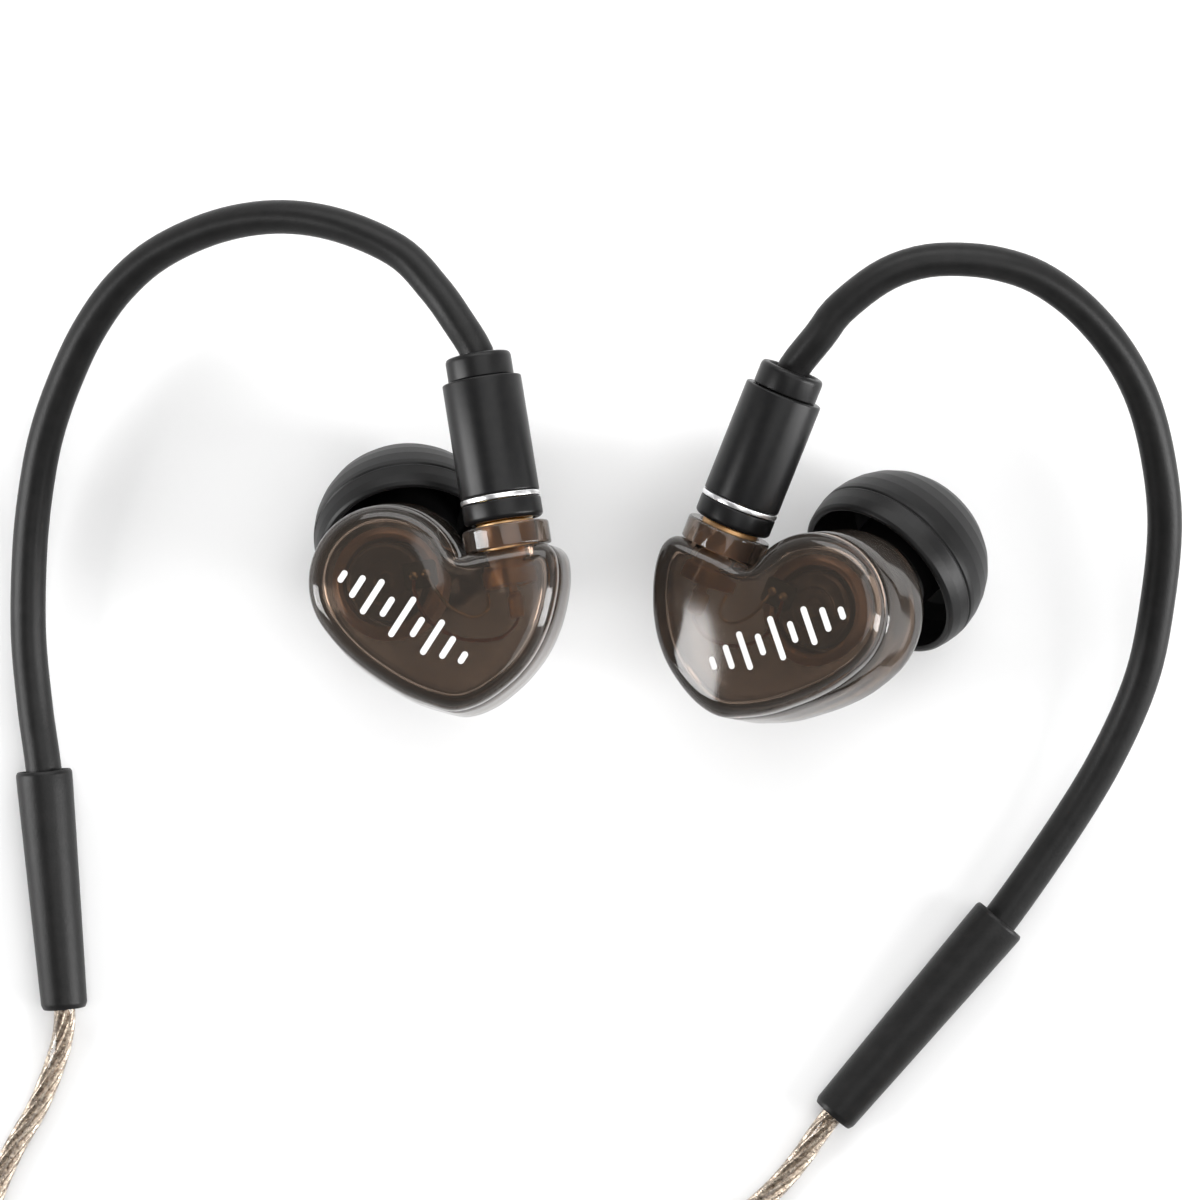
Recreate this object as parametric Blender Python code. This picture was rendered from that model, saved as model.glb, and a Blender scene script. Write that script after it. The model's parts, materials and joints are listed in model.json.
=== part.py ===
"""A pair of in-ear monitors plugged into their cable and laid out on a table.

Lengths are written in millimetres and turned into metres as each mesh is made. Z is up, the table
is at Z = 0, and the origin is on it, under the middle of the earpieces and their ear hooks.

Each earpiece is modelled in its own frame: the origin is the mouth of its cable socket, +Y runs up
the plug, +Z is the way that the faceplate looks, and the round lobe with the driver is towards -X.
The left ear's pieces are the mirror image of the right ear's.
"""

import math
from collections import namedtuple

import bmesh
import bpy
from mathutils import Matrix, Vector

MM = 0.001

# How each earpiece lies: the mouth of its socket, the lean of its plug about +Z, the rise of the
# plug's cable end above level, and the turn of the earpiece on its plug, in degrees.
Placement = namedtuple("Placement", "mirror mouth lean rise turn")
EARS = {
    "right_ear": Placement(False, (-5.8, 9.8, 17.0), 9.2, -4.0, -9.4),
    "left_ear": Placement(True, (9.25, 9.7, 11.7), -21.6, 8.0, -22.9),
}

# Shell: a round lobe over the driver, running into a rounded heart shape under the socket.
LOBE_CENTRE = (-8.3, -2.4)
LOBE_RADIUS = 5.1
SHOULDER_AND_BELLY = [
    (-2.6, -1.62), (0.1, -1.55), (2.3, -1.62), (3.0, -1.95), (3.35, -2.75), (3.22, -4.2), (2.75, -5.7),
    (2.05, -7.2), (1.05, -8.65), (-0.25, -9.9), (-1.9, -10.9), (-3.5, -11.5), (-5.1, -11.6), (-6.5, -11.0),
    (-8.05, -10.1), (-9.45, -8.95), (-10.75, -7.7), (-11.9, -6.3),
]
OUTLINE_POINTS = 32
SHELL_HEART = (-5.0, -4.8)
WALL = 0.9
FACE_Z = 2.8
FACE_DOME = 0.25
SIDE_TOP_Z = 1.7
SIDE_END_Z = -3.2
FLARE = 0.75
SEAM_Z = 1.1
SEAM_GAP = 0.1

# Nozzle and ear tip, which share an axis that leans back and towards the plug.
TIP_CENTRE = (-8.4, 1.2, -9.3)
NOZZLE_AXIS = (-0.10, 0.70, -0.71)
NOZZLE_ROOT = -2.8
NOZZLE_END = 3.8
NOZZLE_RADIUS = 2.3
NOZZLE_BORE = 1.45
MESH_SEAT_RADIUS = 1.85
MESH_SEAT_DEPTH = 0.7
TIP_RADIUS = 6.5

# Plug and socket, all round parts on the plug's axis.
BARREL_RADIUS = 2.65
BARREL_START = 2.05
BARREL_END = 9.85
COLLAR_RADIUS = 2.2
COLLAR_END = 11.55
SOCKET_RADIUS = 1.95
SOCKET_BORE = 1.55
SOCKET_HOLE_RADIUS = 2.15
SOCKET_LENGTH = 4.0
PLUG_CONTACT_RADIUS = 1.35

# Driver, in the lobe.
DRIVER_RADIUS = 3.75

# Ear hooks and their sleeves.
HOOK_RADIUS = 1.1
HOOK_END_RADIUS = 1.25
HOOK_START = 8.2
HOOK_STRAIGHT_END = 11.7
HOOK_POINT_SPACING = 2.8
SLEEVE_TOP_RADIUS = 1.95
SLEEVE_END_RADIUS = 1.6
HOOK_IN_SLEEVE = 5.0
SLEEVES = {
    "right_ear": ((-38.0, -6.9, 1.96), (-36.6, -23.4, 1.61)),
    "left_ear": ((28.2, -17.2, 1.96), (16.6, -30.8, 1.61)),
}
HOOK_ROUTES = {
    "right_ear": [
        (-9.0, 23.5, 16.0), (-10.5, 25.6, 15.5), (-12.9, 28.1, 14.8), (-16.9, 29.95, 13.7),
        (-21.0, 30.65, 12.3), (-25.2, 30.15, 10.8), (-29.3, 28.5, 9.2), (-32.2, 26.2, 8.0),
        (-34.4, 23.3, 6.9), (-36.1, 20.0, 5.8), (-37.4, 16.6, 4.9), (-38.2, 13.2, 4.1),
        (-38.8, 8.7, 3.3), (-39.0, 2.8, 2.6), (-38.6, -2.4, 2.1),
    ],
    "left_ear": [
        (15.2, 22.6, 14.2), (16.5, 24.3, 14.6), (19.2, 26.4, 15.1), (21.8, 27.4, 15.3),
        (24.5, 27.6, 15.2), (27.2, 27.3, 14.8), (29.9, 26.4, 14.1), (32.7, 24.5, 13.1),
        (35.3, 21.7, 11.8), (37.2, 18.4, 10.4), (38.4, 14.4, 8.9), (39.0, 10.0, 7.3),
        (38.7, 4.9, 5.7), (37.8, -0.3, 4.3), (35.7, -5.5, 3.2), (32.7, -10.7, 2.4),
    ],
}

# Cable. The two branches lie side by side as a ribbon in their coil, two turns wide and two high.
BRANCH_RADIUS = 0.75
MAIN_RADIUS = 1.0
CORD_SPACING = 3.0
BRANCH_ROUTES = {
    "right_ear": [
        (-36.6, -23.7, 1.5), (-36.75, -25.2, 1.1), (-37.3, -27.2, 0.8), (-38.5, -30.2, 0.78),
        (-40.4, -33.6, 0.78), (-41.9, -37.5, 0.78), (-42.2, -41.5, 0.78), (-41.3, -45.5, 0.78),
        (-39.4, -49.2, 0.78), (-38.1, -52.3, 0.8), (-37.5, -55.3, 0.95),
    ],
    "left_ear": [
        (16.4, -31.0, 1.5), (15.5, -32.3, 1.1), (14.2, -34.2, 0.8), (12.0, -36.6, 0.78),
        (8.4, -39.4, 0.78), (3.6, -41.2, 0.78), (-2.4, -41.3, 0.78), (-9.0, -40.3, 0.78),
        (-14.6, -39.6, 0.8), (-19.2, -39.9, 0.95),
    ],
}
BRANCH_COIL_CENTRE = (-23.0, -54.0)
BRANCH_COIL_INNER = 7.4
BRANCH_COIL_OUTER = 13.6
BRANCH_COIL_TOP = 3.6
RIBBON_Y = -66.0
RIBBON_Z = 1.6
BRANCH_TAIL_ROUTES = {
    "right_ear": [(-15.6, -66.75, 2.0), (-13.4, -66.75, 1.7), (-11.0, -66.75, 1.6), (7.7, -66.75, 1.6)],
    "left_ear": [(-13.4, -65.25, 1.7), (-11.0, -65.25, 1.6), (7.7, -65.25, 1.6)],
}
MAIN_COIL_CENTRE = (32.0, -54.0)
MAIN_COIL_INNER = 6.7
MAIN_COIL_OUTER = 14.1
MAIN_COIL_TOP = 8.6
MAIN_LEAD_ROUTE = [(20.3, -66.1, 1.6), (21.8, -66.3, 1.6), (23.1, -66.5, 1.55)]
PLUG_LEAD_ROUTE = [
    (40.9, -67.0, 6.2), (43.6, -68.6, 4.6), (46.4, -71.4, 2.6), (47.6, -75.0, 1.3), (46.2, -78.8, 1.1),
    (42.6, -81.4, 1.5), (38.6, -82.4, 2.4), (35.4, -82.5, 3.1), (33.4, -82.5, 3.3),
]
COIL_BASE = 0.5

# Jack plug, lying along -X.
JACK_Y = -82.5
JACK_RADIUS = 3.3
JACK_RELIEF_START = 33.1
JACK_BARREL_START = 23.0
JACK_SHOULDER = 4.0

# Splitter and slider on the ribbon.
SPLITTER_START = 8.0
SPLITTER_END = 20.0
SLIDER_START = 1.0
SLIDER_LENGTH = 5.0

ALONG_PLUG = Matrix.Rotation(math.radians(-90.0), 4, "X")
NO_TURN = Matrix.Identity(4)


# ---------------------------------------------------------------- finishes

def finish(name, colour, roughness, metallic=0.0, alpha=1.0):
    """One Principled material, made the first time that it is asked for."""
    material = bpy.data.materials.get(name)
    if material:
        return material
    material = bpy.data.materials.new(name)
    material.use_nodes = True
    shader = material.node_tree.nodes["Principled BSDF"]
    shader.inputs["Base Color"].default_value = (*colour, 1.0)
    shader.inputs["Roughness"].default_value = roughness
    shader.inputs["Metallic"].default_value = metallic
    shader.inputs["Alpha"].default_value = alpha
    return material


def smoked_plastic():
    return finish("smoked_plastic", (0.16, 0.12, 0.09), 0.05, alpha=0.6)


def black_metal():
    return finish("black_anodised", (0.022, 0.022, 0.024), 0.38, metallic=0.6)


def silver_metal():
    return finish("silver", (0.86, 0.86, 0.87), 0.15, metallic=1.0)


def gold_metal():
    return finish("gold", (0.83, 0.60, 0.26), 0.18, metallic=1.0)


def black_rubber():
    return finish("black_rubber", (0.018, 0.018, 0.019), 0.5)


def silicone():
    return finish("silicone", (0.02, 0.02, 0.021), 0.45)


def driver_metal():
    return finish("driver_metal", (0.20, 0.17, 0.15), 0.3, metallic=0.8)


def driver_film():
    return finish("driver_film", (0.55, 0.42, 0.30), 0.35)


def steel_mesh():
    return finish("steel_mesh", (0.55, 0.55, 0.56), 0.35, metallic=1.0)


def insulator():
    return finish("insulator", (0.85, 0.84, 0.80), 0.4)


def circuit_board():
    return finish("circuit_board", (0.10, 0.16, 0.09), 0.4)


def clear_cable():
    return finish("clear_cable", (0.72, 0.68, 0.60), 0.12)


def strap_fabric():
    return finish("strap", (0.03, 0.03, 0.032), 0.8)


# ---------------------------------------------------------------- meshes

def add_object(name, data, material, parent=None):
    ob = bpy.data.objects.new(name, data)
    bpy.context.scene.collection.objects.link(ob)
    ob.parent = parent
    data.materials.append(material)
    return ob


def add_solid(name, points, faces, material, parent=None, mirror=False):
    """One closed body. Its points are in millimetres, in the parent's frame."""
    side = -MM if mirror else MM
    mesh = bpy.data.meshes.new(name)
    mesh.from_pydata([(side * x, MM * y, MM * z) for x, y, z in points], [], faces)
    body = bmesh.new()
    body.from_mesh(mesh)
    bmesh.ops.recalc_face_normals(body, faces=body.faces)
    body.to_mesh(mesh)
    body.free()
    mesh.shade_smooth()
    mesh.set_sharp_from_angle(angle=math.radians(38.0))
    return add_object(name, mesh, material, parent)


def stack(rings, loop=False):
    """Points and faces of rings joined in turn. A loop joins the last ring to the first; otherwise
    each end is closed by a face, or by a fan where it is a single point."""
    points = [point for ring in rings for point in ring]
    starts = [0]
    for ring in rings:
        starts.append(starts[-1] + len(ring))
    pairs = list(zip(range(len(rings) - 1), range(1, len(rings))))
    if loop:
        pairs.append((len(rings) - 1, 0))
    faces = []
    for low, high in pairs:
        size = max(len(rings[low]), len(rings[high]))
        for i in range(size):
            j = (i + 1) % size
            corners = [starts[low] + i % len(rings[low]), starts[low] + j % len(rings[low])]
            corners += [starts[high] + j % len(rings[high]), starts[high] + i % len(rings[high])]
            faces.append(tuple(dict.fromkeys(corners)))
    if not loop:
        for end in (0, len(rings) - 1):
            if len(rings[end]) > 1:
                faces.append(tuple(range(starts[end], starts[end + 1])))
    return points, faces


def circle(radius, height, segments):
    """Points round the Z axis, or the one point on it."""
    if radius == 0:
        return [Vector((0.0, 0.0, height))]
    turns = [2 * math.pi * i / segments for i in range(segments)]
    return [Vector((radius * math.cos(a), radius * math.sin(a), height)) for a in turns]


def turned(name, profile, material, frame=NO_TURN, segments=16, parent=None, mirror=False):
    """A profile of (radius, height) turned round an axis: solid where it starts and ends on the
    axis, and a ring where it doesn't."""
    rings = [[frame @ p for p in circle(radius, height, segments)] for radius, height in profile]
    loop = profile[0][0] > 0 and profile[-1][0] > 0
    points, faces = stack(rings, loop)
    return add_solid(name, points, faces, material, parent, mirror)


def pipe(inner, outer, start, end):
    """The profile of a plain ring."""
    return [(outer, start), (outer, end), (inner, end), (inner, start)]


def disc(radius, start, end):
    """The profile of a plain disc or rod."""
    return [(0, start), (radius, start), (radius, end), (0, end)]


def frame_along(origin, direction):
    """A frame with its Z axis along a direction."""
    turn = Vector(direction).to_track_quat("Z", "Y").to_matrix().to_4x4()
    return Matrix.Translation(Vector(origin)) @ turn


def cut(ob, cutter):
    cutter.hide_render = True
    cutter.display_type = "WIRE"
    boolean = ob.modifiers.new("cut_" + cutter.name, "BOOLEAN")
    boolean.operation = "DIFFERENCE"
    boolean.solver = "EXACT"
    boolean.object = cutter


def catmull_rom(a, b, c, d, t):
    """A point between b and c on a smooth curve through a, b, c and d."""
    bend = (2 * a - 5 * b + 4 * c - d) * t ** 2
    twist = (3 * b - a - 3 * c + d) * t ** 3
    return 0.5 * (2 * b + (c - a) * t + bend + twist)


def smooth_curve(points, spacing=None, count=None, closed=False):
    """A smooth curve through points, as evenly spaced points."""
    points = [Vector(p) for p in points]
    size = len(points)
    spans = size if closed else size - 1
    fine = []
    for i in range(spans):
        if closed:
            a, b, c, d = (points[(i + k) % size] for k in (-1, 0, 1, 2))
        else:
            b, c = points[i], points[i + 1]
            a = points[i - 1] if i else 2 * b - c
            d = points[i + 2] if i + 2 < size else 2 * c - b
        fine += [catmull_rom(a, b, c, d, k / 16) for k in range(16)]
    fine.append(points[0] if closed else points[-1])
    travelled = [0.0]
    for before, after in zip(fine, fine[1:]):
        travelled.append(travelled[-1] + (after - before).length)
    steps = count or max(2, round(travelled[-1] / spacing))
    even, k = [], 0
    for i in range(steps if closed else steps + 1):
        goal = travelled[-1] * i / steps
        while k < len(fine) - 2 and travelled[k + 1] < goal:
            k += 1
        share = (goal - travelled[k]) / (travelled[k + 1] - travelled[k])
        even.append(fine[k].lerp(fine[k + 1], min(1.0, share)))
    return even


def tube(name, route, radius, material, end_radius=None, spacing=CORD_SPACING, sides=8):
    """A round tube along a smooth curve through the route's points."""
    points = smooth_curve(route, spacing=spacing)
    curve = bpy.data.curves.new(name, "CURVE")
    curve.dimensions = "3D"
    curve.bevel_depth = radius * MM
    curve.bevel_resolution = (sides - 4) // 2
    curve.use_fill_caps = True
    spline = curve.splines.new("POLY")
    spline.points.add(len(points) - 1)
    for i, point in enumerate(points):
        share = i / (len(points) - 1)
        spline.points[i].co = (*(MM * point), 1.0)
        spline.points[i].radius = 1.0 + share * ((end_radius or radius) / radius - 1.0)
    return add_object(name, curve, material)


# ---------------------------------------------------------------- frames

def add_empty(name, location, rotation, parent=None):
    empty = bpy.data.objects.new(name, None)
    empty.empty_display_size = 0.004
    empty.location = Vector(location) * MM
    empty.rotation_euler = [math.radians(angle) for angle in rotation]
    empty.parent = parent
    bpy.context.scene.collection.objects.link(empty)
    return empty


def plug_matrix(place):
    """The plug's frame in the world: +Y up its axis, from the mouth of the socket."""
    lean = Matrix.Rotation(math.radians(place.lean), 4, "Z")
    rise = Matrix.Rotation(math.radians(place.rise), 4, "X")
    return Matrix.Translation(Vector(place.mouth)) @ lean @ rise


# ---------------------------------------------------------------- shell

def shell_outline():
    """The shell's outline looking at its face, as points in the XY plane that start in the notch."""
    arc = []
    for degrees in range(205, 2, -15):
        angle = math.radians(degrees)
        x = LOBE_CENTRE[0] + LOBE_RADIUS * math.cos(angle)
        y = LOBE_CENTRE[1] + LOBE_RADIUS * math.sin(angle)
        arc.append((x, y, 0.0))
    notch = (arc[-1][0] + 0.15, -1.75, 0.0)
    route = [notch] + [(x, y, 0.0) for x, y in SHOULDER_AND_BELLY] + arc
    return smooth_curve(route, count=OUTLINE_POINTS, closed=True)


def outward(outline):
    """Unit normals of the outline, pointing out of the shell."""
    normals = []
    for i, point in enumerate(outline):
        along = outline[(i + 1) % len(outline)] - outline[i - 1]
        normal = Vector((along.y, -along.x, 0.0)).normalized()
        if normal.dot(point - Vector((*SHELL_HEART, 0.0))) < 0:
            normal = -normal
        normals.append(normal)
    return normals


def flare_weights(outline):
    """How much of the flare each outline point takes: all at the lobe, little beside the socket."""
    notch = outline[0]
    weights = []
    for point in outline:
        by_side = min(1.0, max(0.0, -point.x / 12.0))
        by_notch = min(1.0, (point - notch).length / 4.0)
        weights.append(by_side * by_notch)
    return weights


def shell_ring(z, inset=0.0, scale=1.0):
    """The outline at one height: flared towards the back, inset, or shrunk towards its heart."""
    outline = shell_outline()
    share = max(0.0, (SIDE_TOP_Z - z) / (SIDE_TOP_Z - SIDE_END_Z))
    heart = Vector((*SHELL_HEART, 0.0))
    ring = []
    for point, normal, weight in zip(outline, outward(outline), flare_weights(outline)):
        moved = point + normal * (FLARE * share * weight - inset)
        moved = heart + (moved - heart) * scale
        ring.append(Vector((moved.x, moved.y, z)))
    return ring


def nozzle_frame():
    """Z along the nozzle, from the middle of the ear tip's widest circle."""
    return frame_along(TIP_CENTRE, NOZZLE_AXIS)


def nozzle_ring(radius, height, like):
    """A circle round the nozzle whose points face the same way as an outline's points."""
    frame = nozzle_frame()
    back = frame.inverted()
    heart = Vector((*SHELL_HEART, like[0].z))
    ring = []
    for point in like:
        across = back.to_3x3() @ (point - heart)
        angle = math.atan2(across.y, across.x)
        ring.append(frame @ Vector((radius * math.cos(angle), radius * math.sin(angle), height)))
    return ring


def blend_rings(start, end, pull_start, pull_end, steps):
    """Rings on curves that leave the first ring straight back and meet the last along the nozzle."""
    leave = Vector((0.0, 0.0, -pull_start))
    arrive = Vector(NOZZLE_AXIS).normalized() * pull_end
    rings = []
    for k in range(1, steps):
        t = k / steps
        h0 = 2 * t ** 3 - 3 * t ** 2 + 1
        h1 = t ** 3 - 2 * t ** 2 + t
        h2 = 3 * t ** 2 - 2 * t ** 3
        h3 = t ** 3 - t ** 2
        rings.append([a * h0 + leave * h1 + b * h2 + arrive * h3 for a, b in zip(start, end)])
    return rings


def add_faceplate_shell(ear, parent, mirror):
    seam = SEAM_Z + SEAM_GAP / 2
    outer = [
        [Vector((*SHELL_HEART, FACE_Z + FACE_DOME))],
        shell_ring(FACE_Z + 0.7 * FACE_DOME, inset=0.9, scale=0.55),
        shell_ring(FACE_Z, inset=0.95),
        shell_ring(FACE_Z - 0.18, inset=0.42),
        shell_ring(FACE_Z - 0.55, inset=0.1),
        shell_ring(SIDE_TOP_Z),
        shell_ring(seam),
    ]
    inner = [
        shell_ring(seam, inset=WALL),
        shell_ring(FACE_Z - WALL, inset=WALL, scale=0.92),
        shell_ring(FACE_Z - WALL + 0.15, inset=WALL, scale=0.5),
        [Vector((*SHELL_HEART, FACE_Z - WALL + 0.2))],
    ]
    points, faces = stack(outer + inner)
    return add_solid(ear + "_faceplate_shell", points, faces, smoked_plastic(), parent, mirror)


def add_rear_shell(ear, parent, mirror):
    seam = SEAM_Z - SEAM_GAP / 2
    side = [shell_ring(seam), shell_ring(-1.6), shell_ring(SIDE_END_Z)]
    root = nozzle_ring(NOZZLE_RADIUS + 0.3, NOZZLE_ROOT, side[-1])
    outer = side + blend_rings(side[-1], root, 8.5, 5.5, 4) + [root]
    for radius, height in [(2.3, -1.6), (2.3, 2.2), (2.5, 2.6), (2.5, 3.2), (2.2, NOZZLE_END)]:
        outer.append(nozzle_ring(radius, height, side[-1]))
    bore = [
        nozzle_ring(MESH_SEAT_RADIUS, NOZZLE_END, side[-1]),
        nozzle_ring(MESH_SEAT_RADIUS, NOZZLE_END - MESH_SEAT_DEPTH, side[-1]),
        nozzle_ring(NOZZLE_BORE, NOZZLE_END - MESH_SEAT_DEPTH, side[-1]),
        nozzle_ring(NOZZLE_BORE, NOZZLE_ROOT, side[-1]),
    ]
    inner_side = [shell_ring(z, inset=WALL) for z in (-2.9, seam)]
    hollow = blend_rings(inner_side[0], bore[-1], 7.0, 5.0, 4)
    points, faces = stack(outer + bore + hollow[::-1] + inner_side, loop=True)
    return add_solid(ear + "_rear_shell", points, faces, smoked_plastic(), parent, mirror)


def add_shell(ear, parent, mirror):
    shells = [add_faceplate_shell(ear, parent, mirror), add_rear_shell(ear, parent, mirror)]
    hole = disc(SOCKET_HOLE_RADIUS, -SOCKET_LENGTH - 0.6, 1.0)
    cutter = turned(ear + "_socket_hole", hole, smoked_plastic(), ALONG_PLUG, 16, parent, mirror)
    for shell in shells:
        cut(shell, cutter)


# ---------------------------------------------------------------- pieces in and on the shell

def add_driver(ear, parent, mirror):
    frame = Matrix.Translation(Vector((*LOBE_CENTRE, 0.0)))
    rim = DRIVER_RADIUS
    basket = [
        (rim, -2.4), (rim, 0.6), (rim - 0.5, 0.9), (rim - 0.8, 0.9), (rim - 0.8, 0.2), (rim - 0.45, 0.0),
        (rim - 0.45, -1.5), (rim - 0.9, -1.5), (rim - 0.9, -2.4),
    ]
    turned(ear + "_driver_basket", basket, driver_metal(), frame, 18, parent, mirror)
    magnet = [(0, -0.9), (2.6, -0.9), (2.6, 1.2), (2.3, 1.4), (0, 1.4)]
    turned(ear + "_driver_magnet", magnet, black_metal(), frame, 16, parent, mirror)
    film = [
        (0, -2.35), (1.4, -2.0), (1.9, -1.75), (2.75, -2.05), (2.75, -1.9), (1.9, -1.6), (1.4, -1.85),
        (0, -2.2),
    ]
    turned(ear + "_driver_diaphragm", film, driver_film(), frame, 12, parent, mirror)


def add_terminal_board(ear, parent, mirror):
    """A small board across the back of the driver, where the leads are soldered."""
    low, high = Vector((-6.9, -3.3, 1.45)), Vector((-4.7, -1.5, 1.75))
    corners = [(low.x, low.y), (high.x, low.y), (high.x, high.y), (low.x, high.y)]
    rings = [[Vector((x, y, z)) for x, y in corners] for z in (low.z, high.z)]
    points, faces = stack(rings)
    add_solid(ear + "_terminal_board", points, faces, circuit_board(), parent, mirror)


def add_socket(ear, parent, mirror):
    collar = [(2.1, -1.5), (2.9, -1.5), (2.9, -0.15), (2.75, 0.0), (2.1, 0.0)]
    turned(ear + "_socket_collar", collar, smoked_plastic(), ALONG_PLUG, 18, parent, mirror)
    barrel = pipe(SOCKET_BORE, SOCKET_RADIUS, -SOCKET_LENGTH, 0.2)
    turned(ear + "_socket_barrel", barrel, gold_metal(), ALONG_PLUG, 16, parent, mirror)
    core = pipe(0.5, 1.4, -SOCKET_LENGTH + 0.1, -2.9)
    turned(ear + "_socket_insulator", core, insulator(), ALONG_PLUG, 12, parent, mirror)
    contact = disc(0.38, -6.2, -2.4)
    turned(ear + "_socket_contact", contact, gold_metal(), ALONG_PLUG, 8, parent, mirror)


def add_nozzle_mesh(ear, parent, mirror):
    screen = disc(MESH_SEAT_RADIUS - 0.1, NOZZLE_END - 0.5, NOZZLE_END - 0.2)
    turned(ear + "_nozzle_mesh", screen, steel_mesh(), nozzle_frame(), 12, parent, mirror)


def add_ear_tip(ear, parent, mirror):
    """A silicone dome with a hollow skirt, on a stem that grips the nozzle."""
    outside = [
        (6.2, -1.8), (6.45, -0.4), (TIP_RADIUS, 0.2), (6.3, 1.6), (5.75, 3.0), (4.9, 4.2), (3.8, 5.1),
        (2.9, 5.5),
    ]
    mouth = [(2.3, 5.55), (2.0, 5.2), (2.0, 4.3), (2.75, 4.1)]
    stem = [(2.75, -1.0), (3.35, -1.0), (3.5, 3.3)]
    underside = [(4.4, 3.2), (5.2, 2.3), (5.7, 1.0), (5.8, 0.0), (5.6, -1.8)]
    profile = outside + mouth + stem + underside
    turned(ear + "_ear_tip", profile, silicone(), nozzle_frame(), 20, parent, mirror)


# ---------------------------------------------------------------- plug

def add_plug(ear, parent):
    r = BARREL_RADIUS
    barrel = [
        (r, BARREL_START), (r, BARREL_END - 0.2), (r - 0.2, BARREL_END), (1.8, BARREL_END),
        (1.8, BARREL_END - 1.0), (2.15, BARREL_END - 1.2), (2.15, BARREL_START),
    ]
    turned(ear + "_plug_barrel", barrel, black_metal(), ALONG_PLUG, 20, parent)
    top, step = COLLAR_END, BARREL_END + 0.05
    collar = [
        (COLLAR_RADIUS, step), (COLLAR_RADIUS, top - 0.3), (COLLAR_RADIUS - 0.1, top - 0.08),
        (COLLAR_RADIUS - 0.3, top), (1.75, top), (1.65, top - 0.6), (1.25, top - 0.65), (1.25, 7.6),
        (1.7, 7.6), (1.7, step),
    ]
    turned(ear + "_plug_collar", collar, black_metal(), ALONG_PLUG, 16, parent)
    trim = pipe(2.2, r + 0.02, 1.67, 2.0)
    turned(ear + "_plug_trim_ring", trim, silver_metal(), ALONG_PLUG, 20, parent)
    base = [(r, 0.5), (r, 1.62), (2.1, 1.62), (2.1, 0.3), (r - 0.2, 0.3)]
    turned(ear + "_plug_base", base, black_metal(), ALONG_PLUG, 20, parent)
    contact = [
        (PLUG_CONTACT_RADIUS, -2.3), (PLUG_CONTACT_RADIUS, -1.8), (1.1, -1.8), (1.1, -1.3),
        (PLUG_CONTACT_RADIUS, -1.3), (PLUG_CONTACT_RADIUS, 0.3), (1.95, 0.3), (1.95, 1.9),
        (1.6, 1.9), (1.6, 5.0), (0.9, 5.0), (0.9, -2.3),
    ]
    turned(ear + "_plug_contact", contact, gold_metal(), ALONG_PLUG, 12, parent)
    pin = [(0, -2.2), (0.15, -2.2), (0.28, -2.0), (0.28, -0.4), (0.75, -0.4), (0.75, 3.0), (0, 3.0)]
    turned(ear + "_plug_pin", pin, insulator(), ALONG_PLUG, 8, parent)


def add_lock_ring(ear, parent, mirror):
    """The split spring ring in the plug contact's groove, which snaps into the socket."""
    low, high, inside, outside = -1.75, -1.35, 1.15, 1.47
    rings = []
    for degrees in range(25, 336, 31):
        angle = math.radians(degrees)
        corners = [(inside, low), (outside, low), (outside, high), (inside, high)]
        rings.append([Vector((r * math.cos(angle), y, r * math.sin(angle))) for r, y in corners])
    points, faces = stack(rings)
    add_solid(ear + "_lock_ring", points, faces, silver_metal(), parent, mirror)


def add_hook(ear, place):
    axis = plug_matrix(place)
    sleeve_top, sleeve_end = (Vector(p) for p in SLEEVES[ear])
    along_sleeve = (sleeve_end - sleeve_top).normalized()
    inside_plug = [axis @ Vector((0.0, y, 0.0)) for y in (HOOK_START, 10.0, HOOK_STRAIGHT_END)]
    inside_sleeve = [sleeve_top + along_sleeve * d for d in (0.0, HOOK_IN_SLEEVE)]
    route = inside_plug + [Vector(p) for p in HOOK_ROUTES[ear]] + inside_sleeve
    tube(ear + "_hook", route, HOOK_RADIUS, black_rubber(), HOOK_END_RADIUS, HOOK_POINT_SPACING, 8)
    length = (sleeve_end - sleeve_top).length
    profile = [
        (SLEEVE_TOP_RADIUS - 0.25, 0.0), (SLEEVE_TOP_RADIUS, 0.4), (SLEEVE_END_RADIUS, length - 0.3),
        (SLEEVE_END_RADIUS - 0.2, length), (0.95, length), (0.95, 8.0), (1.4, 6.5), (1.4, 0.0),
    ]
    frame = frame_along(sleeve_top, along_sleeve)
    turned(ear + "_hook_sleeve", profile, black_rubber(), frame, 16)


# ---------------------------------------------------------------- cable

def flat_loft(name, stations, material, centre_y=RIBBON_Y, centre_z=RIBBON_Z, segments=16):
    """A rounded body along X: each station gives X, the half width along Y and the half height."""
    rings = []
    for x, half_width, half_height in stations:
        ring = []
        for i in range(segments):
            angle = 2 * math.pi * i / segments
            straight = max(0.0, half_width - half_height)
            y = math.copysign(straight, math.cos(angle)) + half_height * math.cos(angle)
            if abs(math.cos(angle)) < 1e-6:
                y = 0.0
            ring.append(Vector((x, centre_y + y, centre_z + half_height * math.sin(angle))))
        rings.append(ring)
    points, faces = stack(rings)
    return add_solid(name, points, faces, material)


def add_splitter():
    start, end = SPLITTER_START, SPLITTER_END
    stations = [
        (start, 2.6, 1.4), (start + 0.3, 2.8, 1.58), (start + 6.0, 2.8, 1.58), (start + 8.5, 2.0, 1.58),
        (end - 0.3, 1.55, 1.5), (end, 1.4, 1.35),
    ]
    splitter = flat_loft("cable_splitter", stations, black_rubber())
    twin_hole = [(start - 1, 1.75, 0.95), (start + 4, 1.75, 0.95)]
    single_hole = [(end - 4, 1.08, 1.08), (end + 1, 1.08, 1.08)]
    twin = flat_loft("splitter_twin_hole", twin_hole, black_rubber())
    single = flat_loft("splitter_single_hole", single_hole, black_rubber())
    cut(splitter, twin)
    cut(splitter, single)


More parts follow.
